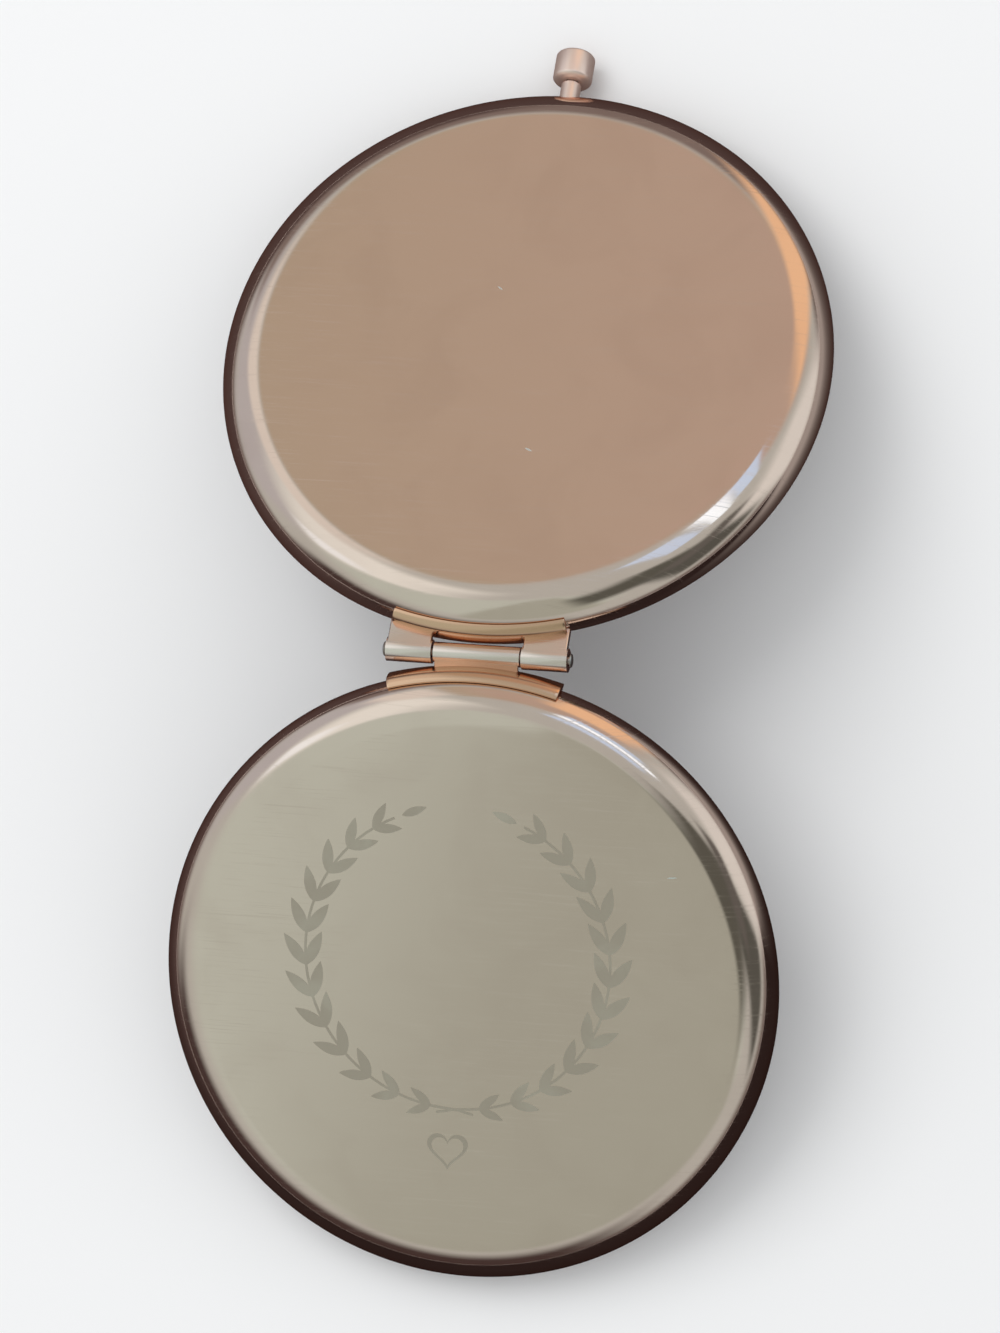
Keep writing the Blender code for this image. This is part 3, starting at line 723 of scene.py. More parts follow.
def leafOutline(growth, top):
    # the cover's round edge, grown outwards, thinning softly towards the leaf's top
    h = hingeShape
    (edgeR, edgeZ), (wide, tall) = h["edgeMiddle"], h["edgeSize"]
    gap = h["leafGap"]
    points = []
    for turn in quarterSteps(h["edgeSteps"]):
        height = edgeZ + (tall + gap) * math.cos(turn)
        if height > top:
            continue
        share = min(1.0, (top - height) / h["leafFade"])
        swell = math.sin(quarterTurn * share) ** h["leafSwell"]
        grown = gap + (growth - gap) * (h["leafTip"] + (1 - h["leafTip"]) * swell)
        r = edgeR + (wide + grown) * math.sin(turn)
        points.append((r, edgeZ + (tall + grown) * math.cos(turn)))
    points.append((discRadius + growth, h["leafFoot"]))
    return points


def makeLeafBand(name, half, shape):
    h = hingeShape
    inner = h["leafGap"]
    outer = inner + shape["thickness"]
    outline = leafOutline(outer, shape["top"]) + leafOutline(inner, shape["top"])[::-1]
    spread = math.asin(h["leafHalf"] / (discRadius + outer))
    middle = half["side"] * hingeToMiddle
    begin = spread if half["side"] > 0 else math.pi + spread
    points = [(r * math.sin(begin), middle - r * math.cos(begin), z) for r, z in outline]
    band = drawOutline(name, points, closed=True)
    centre = Vector((0, middle, 0)) * mm
    bpy.ops.mesh.spin(steps=h["leafSteps"], angle=2 * spread, center=centre, axis=(0, 0, 1))
    closeEdit()
    tidyFaces(band)
    roundEdges(band, *h["leafRound"])
    return band


def makeKnuckle(half, shape, start, end):
    # a rolled knuckle and the web that runs from it under the leaf
    h = hingeShape
    radius, sides = shape["knuckleRadius"], h["knuckleSides"]
    knuckle = addRod("knuckle", radius, (start, 0, 0), (end, 0, 0), sides)
    far = max(abs(start), abs(end))
    leafRadius = discRadius + h["leafGap"] + h["webOverlap"]
    low, high = sorted((0, half["side"] * (hingeToMiddle - math.sqrt(leafRadius**2 - far**2))))
    foot = (start + h["webInset"], low, h["webFoot"])
    web = addBlock("web", foot, (end - h["webInset"], high, shape["webTop"]))
    roundEdges(web, *h["webRound"])
    cutWith(knuckle, web, "UNION")
    roundEdges(knuckle, *h["knuckleRound"])
    begin, stop = (start - overrun, 0, 0), (end + overrun, 0, 0)
    cutWith(knuckle, addRod("boreTool", h["boreRadius"], begin, stop, h["boreSides"]))
    return knuckle


def addLeaf(name, half, shape, node):
    pieces = [makeLeafBand(name, half, shape)]
    pieces += [makeKnuckle(half, shape, start, end) for start, end in shape["knuckles"]]
    for piece, finish in zip(pieces, [shadedCopperLeaf] + [litRoseGoldKnuckle] * len(shape["knuckles"])):
        paint(piece, finish)
    leaf = joinPieces(pieces)
    leaf.name = name
    finishPiece(leaf, hingeShape["smooth"], half, None, "rose_gold", node)


addLeaf("baseHingeLeaf", baseHalf, baseLeafShape, "base_hinge_leaf")
addLeaf("lidHingeLeaf", lidHalf, lidLeafShape, "lid_hinge_leaf")

pin = {
    "radius": 0.5,
    "headRadius": 0.8, "headStart": 10.5, "headRim": 10.56, "headEnd": 10.78,
    "chamfer": 0.04,
    "turnSteps": 48,
    "smooth": 40,
}


def makePin():
    # turned about the hinge line: a rod with a low dome on each end
    p = pin
    half = [(p["radius"], p["headStart"]), (p["headRadius"] - p["chamfer"], p["headStart"])]
    half += [(p["headRadius"], p["headRim"])]
    half += domeCurve(p["headRadius"], p["headRim"], p["headEnd"] - p["headRim"])
    outline = [(r, -x) for r, x in half[::-1]] + half
    piece = drawOutline("hingePin", [(x, r, 0) for r, x in outline])
    spinRound(piece, p["turnSteps"], (0, 0, 0), (1, 0, 0))
    return piece


finishPiece(makePin(), pin["smooth"], baseHalf, brushedSteel, "satin_steel", "hinge_pin")
print("hinge leaves bent and knuckles rolled")


# Button: knob and stem

button = {
    "radius": 2.27,
    "inner": 36.6,
    "outer": 40.17,
    "flatShare": 0.5,
    "round": 0.35,
    "neckRadius": 1.37,
    "shoulder": (0.9, 0.5),  # the knob thins towards its neck
    "cornerSteps": 5,
    "shoulderSteps": 8,
    "boreRadius": 0.85, "boreDepth": 2.0,
    "stemRadius": 1.15, "stemInner": 33.55, "stemOuter": 36.35,
    "innerChamfer": 0.1,
    "outerChamfer": 0.12,
    "tailRadius": 0.4, "tailInner": 32.8,
    "tenonRadius": 0.6, "tenonGap": 0.25,
    "knobSteps": 96,
    "stemSteps": 64,
    "smooth": 40,
}


def turnAlongY(name, outline, steps):
    # a round piece about the stem's line, from (radius, distance from the disc's middle) in mm
    piece = drawOutline(name, [(r, hingeToMiddle + y, stemHeight) for r, y in outline])
    spinRound(piece, steps, (0, 0, stemHeight), (0, 1, 0))
    return piece


def makeKnob():
    b = button
    turned, neck, foot = b["radius"] - b["round"], b["neckRadius"], b["inner"]
    points = [(0.0, b["outer"]), (b["radius"] * b["flatShare"], b["outer"])]
    for turn in quarterSteps(b["cornerSteps"])[::-1]:
        y = b["outer"] - b["round"] + b["round"] * math.sin(turn)
        points.append((turned + b["round"] * math.cos(turn), y))
    deep, tall = b["shoulder"]
    for turn in quarterSteps(b["shoulderSteps"]):
        points.append((neck + deep * math.cos(turn), foot + tall * (1 - math.sin(turn))))
    boreEnd = foot + b["boreDepth"]
    points += [(b["boreRadius"], foot), (b["boreRadius"], boreEnd), (0.0, boreEnd)]
    return turnAlongY("buttonKnob", points, b["knobSteps"])


def makeStem():
    b = button
    tenonEnd = b["inner"] + b["boreDepth"] - b["tenonGap"]
    points = [
        (0.0, tenonEnd),
        (b["tenonRadius"], tenonEnd),
        (b["tenonRadius"], b["stemOuter"]),
        (b["stemRadius"] - b["outerChamfer"], b["stemOuter"]),
        (b["stemRadius"], b["stemOuter"] - b["outerChamfer"]),
        (b["stemRadius"], b["stemInner"] + b["innerChamfer"]),
        (b["stemRadius"] - b["innerChamfer"], b["stemInner"]),
        (b["tailRadius"], b["stemInner"]),
        (b["tailRadius"], b["tailInner"]),
        (0.0, b["tailInner"]),
    ]
    return turnAlongY("buttonStem", points, b["stemSteps"])


for piece, node in ((makeKnob(), "button_cap"), (makeStem(), "button_stem")):
    finishPiece(
        piece, button["smooth"], baseHalf, litRoseGoldKnob, "rose_gold", node, body="button"
    )
print("button turned")


# Rings that hold the glass, with a rolled bead, and the glass itself

ring = {
    "outer": 34.1,
    "skirtTop": 1.6, "skirtInner": 33.6,
    "land": 0.6, "landBack": 1.1,
    "bend": 0.25, "bendSteps": 5,
    "beadInner": 29.3, "beadOuter": 29.9,
    "beadRoots": ((0.12, 0.0), (0.03, 0.03)),  # outwards from the bead and down from the land
    "beadStart": 0.55, "beadFront": 0.33, "beadSteps": 12,
    "slotInner": 30.0, "slotOuter": 31.7, "slotHalf": 2.05, "slotRound": (0.25, 3, 60),
    "grooveRadius": 1.4, "grooveSpan": (32.1, 36.0),
    "rivetX": 4.6, "rivetRadial": 31.25, "rivetHole": 0.7, "rivetHoleSides": 36,
    "through": (-1, 2.2),
    "turnSteps": 200,
    "smooth": 40,
}


def ringOutline():
    r = ring
    points = [(r["outer"], r["skirtTop"]), (r["outer"], r["land"] + r["bend"])]
    for turn in quarterSteps(r["bendSteps"])[1:]:
        z = r["land"] + r["bend"] * (1 - math.sin(turn))
        points.append((r["outer"] - r["bend"] * (1 - math.cos(turn)), z))
    points += [(r["beadOuter"] + out, r["land"] - down) for out, down in r["beadRoots"]]
    middle = (r["beadInner"] + r["beadOuter"]) / 2
    wide = (r["beadOuter"] - r["beadInner"]) / 2
    for i in range(1, r["beadSteps"]):
        turn = math.pi * i / r["beadSteps"]
        z = r["beadStart"] - (r["beadStart"] - r["beadFront"]) * math.sin(turn)
        points.append((middle + wide * math.cos(turn), z))
    points += [(r["beadInner"], r["land"]), (r["beadInner"], r["landBack"])]
    points += [(r["skirtInner"], r["landBack"]), (r["skirtInner"], r["skirtTop"])]
    return points


def addFarBlock(name, half, halfWidth, outwards, height):
    # a block at the end of a half away from the hinge
    low, high = sorted(half["side"] * (hingeToMiddle + y) for y in outwards)
    return addBlock(name, (-halfWidth, low, height[0]), (halfWidth, high, height[1]))


def cutRivetHoles(piece, half, height):
    r = ring
    y = half["side"] * (hingeToMiddle + r["rivetRadial"])
    for x in (-r["rivetX"], r["rivetX"]):
        start, end = ((x, y, z) for z in height)
        cutWith(piece, addRod("rivetTool", r["rivetHole"], start, end, r["rivetHoleSides"]))


def makeRing(name, half):
    r = ring
    y = half["side"] * hingeToMiddle
    piece = drawOutline(name, [(x, y, z) for x, z in ringOutline()], closed=True)
    selectAll()
    bpy.ops.mesh.delete(type="ONLY_FACE")
    spinRound(piece, r["turnSteps"], (0, y, 0))
    slotSpan = (r["slotInner"], r["slotOuter"])
    slotTool = addFarBlock("slotTool", half, r["slotHalf"], slotSpan, r["through"])
    roundEdges(slotTool, *r["slotRound"])
    cutWith(piece, slotTool)
    cutRivetHoles(piece, half, r["through"])
    return piece


baseRing = makeRing("baseMirrorRing", baseHalf)
cutStemHole(baseRing, ring["grooveRadius"], ring["grooveSpan"])
lidRing = makeRing("lidMirrorRing", lidHalf)
finishPiece(baseRing, ring["smooth"], baseHalf, roseGoldBase, "rose_gold", "base_mirror_frame")
finishPiece(lidRing, ring["smooth"], lidHalf, roseGoldLid, "rose_gold", "lid_mirror_frame")

glass = {
    "radius": 29.0,
    "front": 0.45,
    "back": 1.65,
    "grind": 0.15,
    "flatSteps": 5,
    "sag": 0.76,
    "curve": 553.3,
    "hollowSteps": 24,
    "turnSteps": 160,
    "facing": 0.9,
    "smooth": 30,
}


def hollowAt(r, hollow):
    # how far back the magnifying glass lies at this radius
    return glass["sag"] - r**2 / (2 * glass["curve"]) if hollow else 0.0


def addGlass(name, half, hollow, node):
    g = glass
    reach = evenSteps(g["radius"] - g["grind"], g["hollowSteps"] if hollow else g["flatSteps"])
    back = [(r, g["back"] + hollowAt(r, hollow)) for r in reach]
    front = [(r, g["front"] + hollowAt(r, hollow)) for r in reach[::-1]]
    rim = [(g["radius"], g["back"] - g["grind"]), (g["radius"], g["front"] + g["grind"])]
    piece = turnPiece(name, back + rim + front, half, g["turnSteps"])
    # the ground finish goes on everything that doesn't face forwards or back
    paint(piece, mirrorGlass, groundEdge)
    openEdit(piece, "FACE")
    selectFaces(piece, lambda middle, normal: abs(normal.z) < g["facing"])
    piece.active_material_index = 1
    bpy.ops.object.material_slot_assign()
    closeEdit()
    finishPiece(piece, g["smooth"], half, None, "mirror_glass", node)


addGlass("baseMirrorGlass", baseHalf, False, "base_mirror")
addGlass("lidMagnifierGlass", lidHalf, True, "lid_mirror")
print("rings and glass set")


# Pads and spacers behind the glass

padding = {
    "radius": 22.0,
    "turnSteps": 96,
    "padFront": 1.95, "padBack": 2.9, "padRound": 0.3, "padSteps": 8,
    "backRim": ((0.06, 0.12), (0.0, 0.25)),  # inwards from the radius and down from the back
    "frontRim": 0.2,
    "spacerFront": 3.2, "spacerBack": 4.1, "spacerChamfer": 0.12,
    "padSmooth": 50,
    "spacerSmooth": 35,
}


def makePad(name, half, hollow):
    d = padding
    radius, back, front = d["radius"], d["padBack"], d["padFront"]
    reach = evenSteps(radius - d["padRound"], d["padSteps"])
    points = [(r, back) for r in reach]
    points += [(radius - inwards, back - down) for inwards, down in d["backRim"]]
    points.append((radius, front + hollowAt(radius, hollow) + d["frontRim"]))
    points += [(r, front + hollowAt(r, hollow)) for r in reach[::-1]]
    return turnPiece(name, points, half, d["turnSteps"])


def makeSpacer(name, half):
    d = padding
    radius, back, front, cut = d["radius"], d["spacerBack"], d["spacerFront"], d["spacerChamfer"]
    points = [(0.0, back), (radius - cut, back), (radius, back - cut)]
    points += [(radius, front + cut), (radius - cut, front), (0.0, front)]
    return turnPiece(name, points, half, d["turnSteps"])


for half, hollow in ((baseHalf, False), (lidHalf, True)):
    side = half["name"]
    pad = makePad(side + "GlassPad", half, hollow)
    finishPiece(pad, padding["padSmooth"], half, paleFoam, "foam", side + "_mirror_pad")
    spacer = makeSpacer(side + "SpacerDisc", half)
    node, smooth = side + "_spacer_disc", padding["spacerSmooth"]
    finishPiece(spacer, smooth, half, pressedFibre, "fibre", node)
print("pads and spacers cut")


# Catch on the lid, domed rivets, and the latch plates that stay as the frame has them

catch = {
    "footInner": 30.2, "footOuter": 32.3, "footFront": 1.3, "footBack": 1.8, "footHalf": 6.2,
    "footRound": (0.07, 2, 50),
    "holeSpan": (0.9, 2.2),
    "tongueHalf": 1.7, "tongueInner": 30.85, "tongueOuter": 31.35, "tongueEnd": -3.2,
    "tongueTop": 1.68,
    "barbTip": 30.35, "barbBack": -2.7, "barbRound": 0.28, "barbSegments": 3,
    "smooth": 40,
}


def makeCatch():
    c = catch
    footSpan, footHeight = (c["footInner"], c["footOuter"]), (c["footFront"], c["footBack"])
    foot = addFarBlock("lidCatch", lidHalf, c["footHalf"], footSpan, footHeight)
    span, height = (c["tongueInner"], c["tongueOuter"]), (c["tongueEnd"], c["tongueTop"])
    cutWith(foot, addFarBlock("tongue", lidHalf, c["tongueHalf"], span, height), "UNION")
    span, height = (c["barbTip"], c["tongueOuter"]), (c["tongueEnd"], c["barbBack"])
    barb = addFarBlock("barb", lidHalf, c["tongueHalf"], span, height)
    tip = Vector((0, -(hingeToMiddle + c["barbTip"]), c["tongueEnd"])) * mm
    openEdit(barb, "EDGE")
    selectEdges(barb, lambda middle, along: (middle - tip).length < nearEnough * mm)
    width = c["barbRound"] * mm
    bpy.ops.mesh.bevel(offset=width, segments=c["barbSegments"], affect="EDGES")
    closeEdit()
    cutWith(foot, barb, "UNION")
    cutRivetHoles(foot, lidHalf, c["holeSpan"])
    roundEdges(foot, *c["footRound"])
    return foot


finishPiece(makeCatch(), catch["smooth"], lidHalf, brushedSteel, "satin_steel", "lid_catch")

rivet = {
    "shank": 0.45,
    "head": 0.95,
    "front": 0.4,
    "back": 2.0,
    "dome": 0.25,
    "edge": 0.06,
    "turnSteps": 40,
    "smooth": 50,
}


def rivetHead(z, way):
    v = rivet
    rim = z + way * v["edge"]
    dome = domeCurve(v["head"], rim, way * (v["dome"] - v["edge"]))
    return [(v["head"], z), (v["head"], rim)] + dome


def makeRivet():
    # standing on its own axis at the origin, domed at both ends
    v = rivet
    shank = [(v["shank"], v["front"]), (v["shank"], v["back"])]
    outline = rivetHead(v["front"], -1)[::-1] + shank + rivetHead(v["back"], 1)
    piece = drawOutline("rivet", [(r, 0, z) for r, z in outline])
    spinRound(piece, v["turnSteps"])
    return piece


firstRivet = makeRivet()
for half, stem in ((baseHalf, "latch_guide_rivet_"), (lidHalf, "lid_catch_rivet_")):
    y = half["side"] * (hingeToMiddle + ring["rivetRadial"])
    for label, x in (("left", -ring["rivetX"]), ("right", ring["rivetX"])):
        copy = copyPiece(firstRivet)
        copy.name = half["name"] + "Rivet" + label.capitalize()
        copy.location = Vector((x, y, 0)) * mm
        applyPlace(copy)
        finishPiece(copy, rivet["smooth"], half, brushedSteel, "satin_steel", stem + label)
bpy.data.objects.remove(firstRivet, do_unlink=True)

coil = {
    "turns": 5,
    "steps": 20,
    "radius": 0.55,
    "wire": 0.15, "wireSides": 12,
    "start": 23.4,
    "length": 3.2,
    "height": 2.65,
    "pressed": 0.68,
    "smooth": 60,
}


def makeSpring():
    # a small circle of wire, drawn out and turned step by step
    c = coil
    y = hingeToMiddle + c["start"] + c["wire"]
    dropSelection()
    bpy.ops.mesh.primitive_circle_add(
        vertices=c["wireSides"],
        radius=c["wire"] * mm,
        location=Vector((c["radius"], y, c["height"])) * mm,
        fill_type="NGON",
    )
    piece = justAdded("latchSpring")
    applyPlace(piece)
    openEdit(piece)
    selectAll()
    count = c["turns"] * c["steps"]
    travel = (c["length"] - 2 * c["wire"]) / count
    turn = fullTurn / c["steps"]
    centre = Vector((0, y, c["height"])) * mm
    for _ in range(count):
        bpy.ops.mesh.extrude_region_move(TRANSFORM_OT_translate={"value": (0, travel * mm, 0)})
        bpy.ops.transform.rotate(value=turn, orient_axis="Y", center_override=centre)
    closeEdit()
    tidyFaces(piece)
    return piece


latchSpring = makeSpring()
finishPiece(latchSpring, coil["smooth"], baseHalf, brushedSteel, "satin_steel", "latch_spring")
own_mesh(latchSpring)

for node in ("latch_guide", "latch_slider"):
    bpy.data.objects[node].material_slots[0].material = brushedSteel
print("catch, rivets and spring placed")


# Etching on the lid: a leaf wreath and a small heart below it

etching = {
    "height": 4.981,
    "thickness": 0.012,
    "middle": (-0.7, 3.2),
    "wreathRadius": 17.4,
    "span": (9, 158),  # degrees, from the wreath's foot to its tips
    "leafPairs": 12, "leafLength": 3.8, "leafWidth": 1.25, "leafFullness": 0.8,
    "leafTaper": (1.15, 0.35), "leafSteps": 12, "leafSpread": 30,
    "leafSize": (0.8, 0.35),  # at foot and tips, and how much more halfway
    "stemWidth": 0.3, "stemDrop": 0.09, "stemLift": 0.001,
    "stemSpan": (-7, 158, 3),  # degrees, in steps of 3
    "heart": (-1.45, -19.3), "heartWidth": 4.7, "heartLine": 0.5, "heartSteps": 48,
    "smooth": 30,
}


def raiseSheet(piece):
    # gives a flat outline its small thickness
    openEdit(piece)
    selectAll()
    lift = etching["thickness"] * mm
    bpy.ops.mesh.extrude_region_move(TRANSFORM_OT_translate={"value": (0, 0, lift)})
    closeEdit()
    tidyFaces(piece)


def makeLeafBlade():
    e = etching
    wide, slim = e["leafTaper"]
    side = []
    for share in evenSteps(1.0, e["leafSteps"]):
        swell = math.sin(math.pi * share) ** e["leafFullness"] * (wide - slim * share)
        side.append((e["leafLength"] * share, e["leafWidth"] / 2 * swell))
    outline = [(x, y, 0) for x, y in side] + [(x, -y, 0) for x, y in side[-2:0:-1]]
    blade = drawOutline("leafBlade", outline, closed=True)
    closeEdit()
    raiseSheet(blade)
    return blade


def placeBlade(blade, x, y, turn, size):
    copy = copyPiece(blade)
    copy.location = Vector((x, -hingeToMiddle + y, etching["height"])) * mm
    copy.rotation_euler[2] = turn
    copy.scale = (size, size, 1)
    applyPlace(copy)
    return copy


def wreathPoint(side, radius, angle):
    x, y = etching["middle"]
    return x + side * radius * math.sin(angle), y - radius * math.cos(angle)


def placeLeaves(blade, side):
    # pairs of leaves up one side, and a single one at the tip
    e = etching
    leaves = []
    start, end = e["span"]
    for i in range(e["leafPairs"] + 1):
        share = i / e["leafPairs"]
        angle = math.radians(start + (end - start) * share)
        x, y = wreathPoint(side, e["wreathRadius"], angle)
        forward = math.atan2(math.sin(angle), side * math.cos(angle))
        size = e["leafSize"][0] + e["leafSize"][1] * math.sin(math.pi * share)
        for spread in (0,) if i == e["leafPairs"] else (-e["leafSpread"], e["leafSpread"]):
            leaves.append(placeBlade(blade, x, y, forward + math.radians(spread), size))
    return leaves


def makeStemLine(side):
    # the thin line that one side's leaves stand on, its foot crossing the other's
    e = etching
    height = e["height"] + e["stemLift"] * (2 + side)
    angles = range(*e["stemSpan"])
    points = []
    for off, order in ((e["stemWidth"] / 2, angles), (-e["stemWidth"] / 2, angles[::-1])):
        for angle in order:
            x, y = wreathPoint(side, e["wreathRadius"] + off, math.radians(angle))
            drop = hingeToMiddle + max(0.0, -angle) * e["stemDrop"]
            points.append((x, y - drop, height))
    line = drawOutline("stemLine", points, closed=True)
    closeEdit()
    raiseSheet(line)
    return line


def makeWreath():
    blade = makeLeafBlade()
    leaves = []
    for side in (-1, 1):
        leaves += placeLeaves(blade, side) + [makeStemLine(side)]
    bpy.data.objects.remove(blade, do_unlink=True)
    wreath = joinPieces(leaves)
    wreath.name = "lidWreath"
    return wreath


def heartPoints(width):
    # the usual heart curve, 32 units wide
    points = []
    for i in range(etching["heartSteps"]):
        t = fullTurn * i / etching["heartSteps"]
        x = 16 * math.sin(t) ** 3
        y = 13 * math.cos(t) - 5 * math.cos(2 * t) - 2 * math.cos(3 * t) - math.cos(4 * t)
        points.append((x * width / 32, (y + 2.5) * width / 32))
    return points


def makeHeart():
    e = etching
    hx, hy = e["heart"]
    loops = []
    for width in (e["heartWidth"], e["heartWidth"] - 2 * e["heartLine"]):
        place = [(x + hx, y + hy - hingeToMiddle, e["height"]) for x, y in heartPoints(width)]
        loops.append(drawOutline("lidHeart", place, closed=True))
        bpy.ops.mesh.delete(type="ONLY_FACE")
        closeEdit()
    heart = joinPieces(loops)
    openEdit(heart, "EDGE")
    selectAll()
    bpy.ops.mesh.bridge_edge_loops()
    closeEdit()
    raiseSheet(heart)
    return heart


for piece in (makeWreath(), makeHeart()):
    finishPiece(piece, etching["smooth"], lidHalf, etchedFrost, "rose_gold")
print("etching laid on")


# Studio: pale floor, soft light, and the tent that the polished metal sees

studio = {
    "floorSize": 6, "floorColour": (0.93, 0.93, 0.93), "floorRoughness": 0.7,
    "worldColour": (0.92, 0.93, 0.94), "worldStrength": 0.85,
    "keyPlace": (-0.45, 0.35, 0.9), "keyPower": 3.0, "keySize": 0.7,
}


def layFloorPaint(tree, shader, look):
    feedAll(shader, {"Base Color": look["floorColour"], "Roughness": look["floorRoughness"]})


dropSelection()
bpy.ops.mesh.primitive_plane_add(size=studio["floorSize"], location=(0, 0, 0))
floor = justAdded("paleFloor")
paint(floor, makeFinish("floorPaint", layFloorPaint, studio))

world = bpy.data.worlds.new("studioWorld")
bpy.context.scene.world = world
world.use_nodes = True
air = world.node_tree.nodes["Background"]
feedAll(air, {"Color": studio["worldColour"], "Strength": studio["worldStrength"]})


def newGlow(name):
    # a surface that shines by itself
    material = bpy.data.materials.new(name)
    material.use_nodes = True
    tree = material.node_tree
    tree.nodes.clear()
    glow = addNode(tree, "ShaderNodeEmission")
    end = addNode(tree, "ShaderNodeOutputMaterial", {"Surface": glow.outputs["Emission"]})
    return material, tree, glow, end


def hideFromFloor(piece):
    # polished metal sees it, the floor and the camera don't
    piece.visible_camera = False
    piece.visible_diffuse = False
    piece.visible_shadow = False
    piece.visible_transmission = False


# Window cards, a metre away: direction, size and colour
cards = [
    ("windowPane", (0.326, 0.418, 0.848), (0.46, 0.09), (1.2, 1.55, 1.85)),
    ("windowSide", (0.348, 0.513, 0.785), (0.36, 0.10), (0.62, 0.88, 1.25)),
    ("windowTop", (0.245, 0.314, 0.917), (0.40, 0.13), (0.62, 0.86, 1.2)),
]
cardMiddle = Vector((0, 0, 0.02))

for name, direction, size, colour in cards:
    dropSelection()
    toward = Vector(direction).normalized()
    bpy.ops.mesh.primitive_plane_add(size=1, location=cardMiddle + toward)
    card = justAdded(name)
    card.scale = (*size, 1)
    card.rotation_euler = toward.to_track_quat("Z", "Y").to_euler()
    pane, _, glow, _ = newGlow(name)
    feed(glow.inputs["Color"], colour)
    paint(card, pane)
    hideFromFloor(card)

# Panels of the tent: middle and half width in degrees, round from +Y and up, colour and softness
tentPanels = [
    ("pale right", (72, 18), (22, 20), (0.74, 0.84, 0.88), 9),
    ("lilac left", (300, 26), (28, 16), (0.49, 0.55, 0.61), 9),
    ("cream left", (292, 58), (32, 15), (0.84, 0.97, 1.0), 9),
    ("glow left", (276, 49), (8, 7), (0.95, 1.15, 1.28), 4),
    ("cream line", (325, 40), (9, 12), (0.74, 0.79, 0.79), 4),
    ("brown over base", (356, 40), (20, 15), (0.452, 0.435, 0.36), 3),
    ("rosy over base", (371, 40), (27, 15), (0.50, 0.435, 0.385), 9),
    ("dusk beyond base", (343, 6), (27, 14), (0.22, 0.20, 0.20), 5),
    ("dusk low left", (326, -1), (19, 9), (0.10, 0.08, 0.082), 5),
    ("grey over lid", (203, 62), (60, 24), (0.53, 0.66, 0.645), 9),
    ("warm over lid", (176, 58), (25, 26), (0.40, 0.48, 0.45), 4),
    ("warm glow", (22, 20), (13, 18), (0.90, 0.66, 0.44), 5),
    ("dark curtain", (125, 59), (31, 13), (0.105, 0.12, 0.11), 7),
    ("dark door", (114, 33), (17, 18), (0.10, 0.115, 0.11), 5),
    ("dark lintel", (100, 45), (20, 6), (0.13, 0.14, 0.14), 4),
    ("dark far", (209, 2), (39, 20), (0.065, 0.048, 0.048), 10),
]
tent = {
    "radius": 1.4,
    "sides": (64, 32),
    "above": (0.49, 0.57, 0.58),
    "below": (0.14, 0.12, 0.12),
    "fade": (-0.02, 0.26),
}


def splitDirection(tree, point):
    straight = addNode(tree, "ShaderNodeVectorMath", {0: point}, operation="NORMALIZE")
    return splitVector(tree, straight.outputs["Vector"])


def makeTentPanelEffect():
    # one panel with soft edges, as seen from the tent's middle
    numbers = dict.fromkeys(("Round", "RoundHalf", "Up", "UpHalf", "Soft"), 0.0)
    tree, given, result = newEffect("tentPanel", **numbers)
    x, y, z = splitDirection(tree, given["Vector"])
    around = combineValues(tree, x, y, "ARCTAN2")
    around = combineValues(tree, around, given["Round"], "SUBTRACT")
    wrapping = {0: around, 1: math.pi, 2: -math.pi}
    around = addNode(tree, "ShaderNodeMath", wrapping, operation="WRAP").outputs[0]
    raised = combineValues(tree, z, 0.0, "ARCSINE")
    raised = combineValues(tree, raised, given["Up"], "SUBTRACT")
    mask = None
    for value, label in ((around, "RoundHalf"), (raised, "UpHalf")):
        size = combineValues(tree, value, 0.0, "ABSOLUTE")
        near = combineValues(tree, given[label], given["Soft"], "SUBTRACT")
        far = combineValues(tree, given[label], given["Soft"], "ADD")
        side = remap(tree, size, near, far, 1.0, 0.0)
        mask = side if mask is None else combineValues(tree, mask, side, "MULTIPLY")
    feed(result, mask)
    return tree


def makeTent():
    dropSelection()
    around, up = tent["sides"]
    bpy.ops.mesh.primitive_uv_sphere_add(
        segments=around, ring_count=up, radius=tent["radius"], location=(0, 0, 0)
    )
    piece = justAdded("softTent")
    panelEffect = makeTentPanelEffect()
    material, tree, glow, _ = newGlow("tentCloth")
    point = objectPoint(tree)
    height = remap(tree, splitDirection(tree, point)["Z"], *tent["fade"])
    colour = blendColour(tree, height, tent["below"], tent["above"])
    for label, (around, up), (wide, tall), tint, soft in tentPanels:
        values = {"Round": around, "RoundHalf": wide, "Up": up, "UpHalf": tall, "Soft": soft}
        values = {key: math.radians(value) for key, value in values.items()}
        values["Vector"] = point
        panel = addNode(tree, "ShaderNodeGroup", values, node_tree=panelEffect, label=label)
        colour = blendColour(tree, panel.outputs["Mask"], colour, tint)
    feed(glow.inputs["Color"], colour)
    paint(piece, material)
    return piece


hideFromFloor(makeTent())
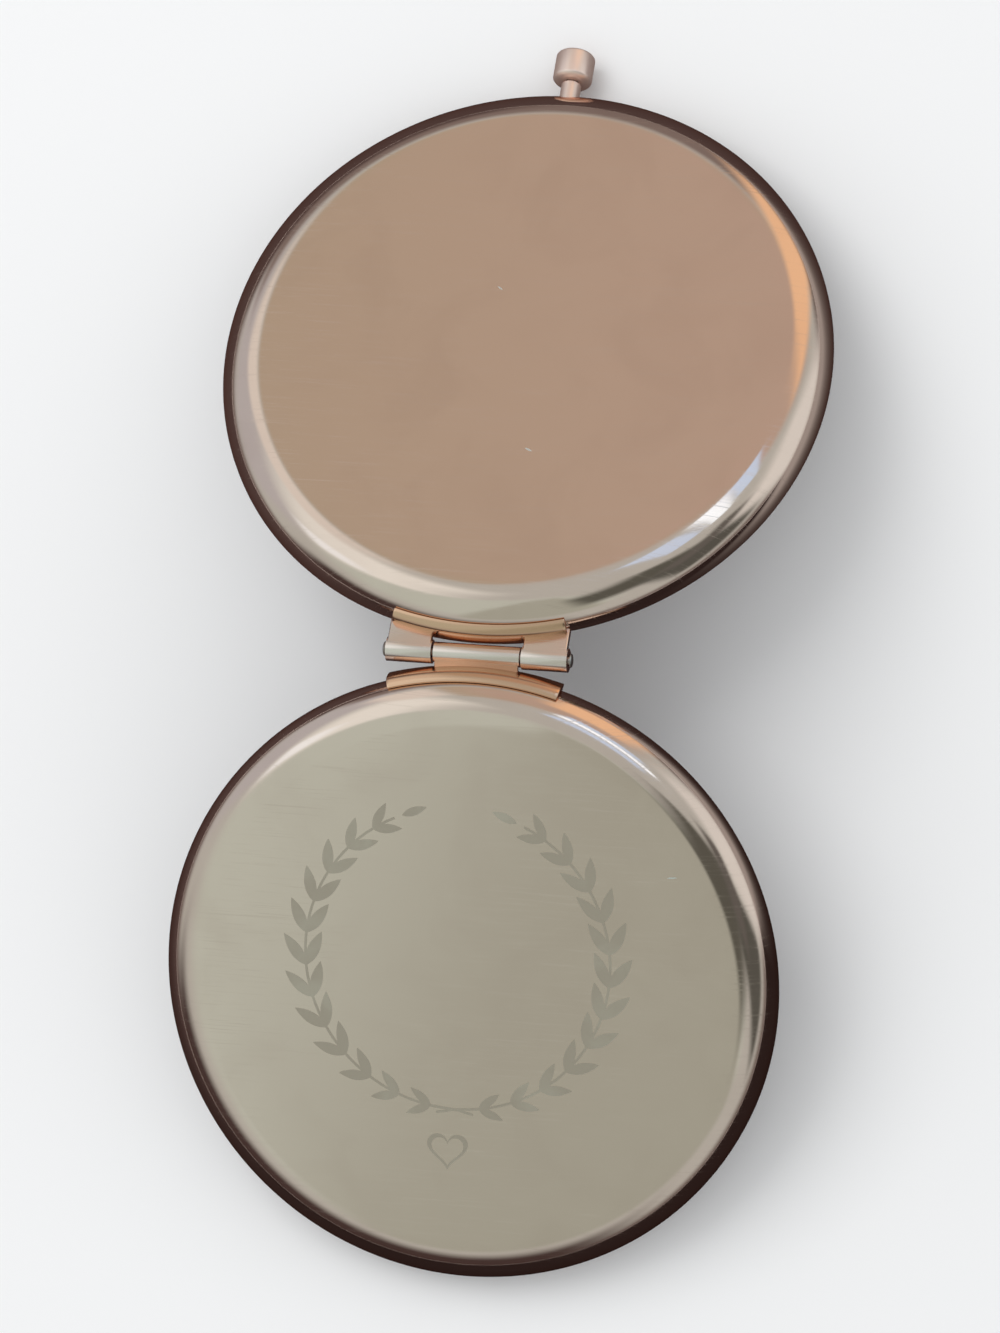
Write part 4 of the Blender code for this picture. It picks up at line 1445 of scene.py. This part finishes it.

# A dark glowing sheet under the mirror that only polished metal sees: painted dark reflection for
# the rims, with painted light from the right
darkReflectionSheet = {
    "height": 0.0004,
    "reach": 1.2,
    "sides": 96,
    "solid": 0.3,
    "colour": (0.085, 0.064, 0.066),
    "deep": (0.026, 0.018, 0.018),  # nearer and to the right
    "turn": (-0.08, 0.07),
    "spill": (0.36, 0.37, 0.38),  # painted light, as if falling on it from the right
    "spillRight": (0.025, 0.08), "spillAlong": (-0.03, 0.01),
}


def makeDarkReflectionSheet():
    # a glowing dark round with a soft edge under the mirror that only polished metal sees: painted
    # dark reflection in the rims' edges
    c = darkReflectionSheet
    dropSelection()
    bpy.ops.mesh.primitive_circle_add(
        vertices=c["sides"], radius=1, location=(0, 0, c["height"]), fill_type="NGON"
    )
    piece = justAdded("darkReflectionSheet")
    piece.scale = (c["reach"], c["reach"], 1)
    material, tree, glow, end = newGlow("darkReflectionSheet")
    point = objectPoint(tree)
    x, y, _ = splitVector(tree, point)
    across = remap(tree, combineValues(tree, x, y, "SUBTRACT"), *c["turn"])
    shade = blendColour(tree, across, c["colour"], c["deep"])
    right = remap(tree, x, *c["spillRight"])
    spill = combineValues(tree, right, remap(tree, y, *c["spillAlong"]), "MULTIPLY")
    feed(glow.inputs["Color"], blendColour(tree, spill, shade, c["spill"]))
    fade = remap(tree, lengthOf(tree, point), c["solid"], 1.0)
    clear = addNode(tree, "ShaderNodeBsdfTransparent").outputs["BSDF"]
    mixing = {0: fade, 1: glow.outputs["Emission"], 2: clear}
    feed(end.inputs["Surface"], addNode(tree, "ShaderNodeMixShader", mixing).outputs["Shader"])
    paint(piece, material)
    return piece


hideFromFloor(makeDarkReflectionSheet())

dropSelection()
bpy.ops.object.light_add(type="AREA", location=studio["keyPlace"])
key = justAdded("keyLight")
key.data.energy = studio["keyPower"]
key.data.size = studio["keySize"]
key.rotation_euler = (-key.location).to_track_quat("-Z", "Y").to_euler()
key.visible_glossy = False

camera = {
    "location": (0.139005, -0.077809, 0.672337),
    "turn": (7.4292, 11.3, 5.238),
    "lens": 162.04,
    "sensor": 36,
    "clip": (0.01, 20),
}
dropSelection()
bpy.ops.object.camera_add(location=camera["location"])
view = justAdded("photoCamera")
view.rotation_euler = [math.radians(a) for a in camera["turn"]]
view.data.lens = camera["lens"]
view.data.sensor_width = camera["sensor"]
view.data.clip_start, view.data.clip_end = camera["clip"]
bpy.context.scene.camera = view
bpy.context.scene.view_settings.view_transform = "Standard"
print("studio set")
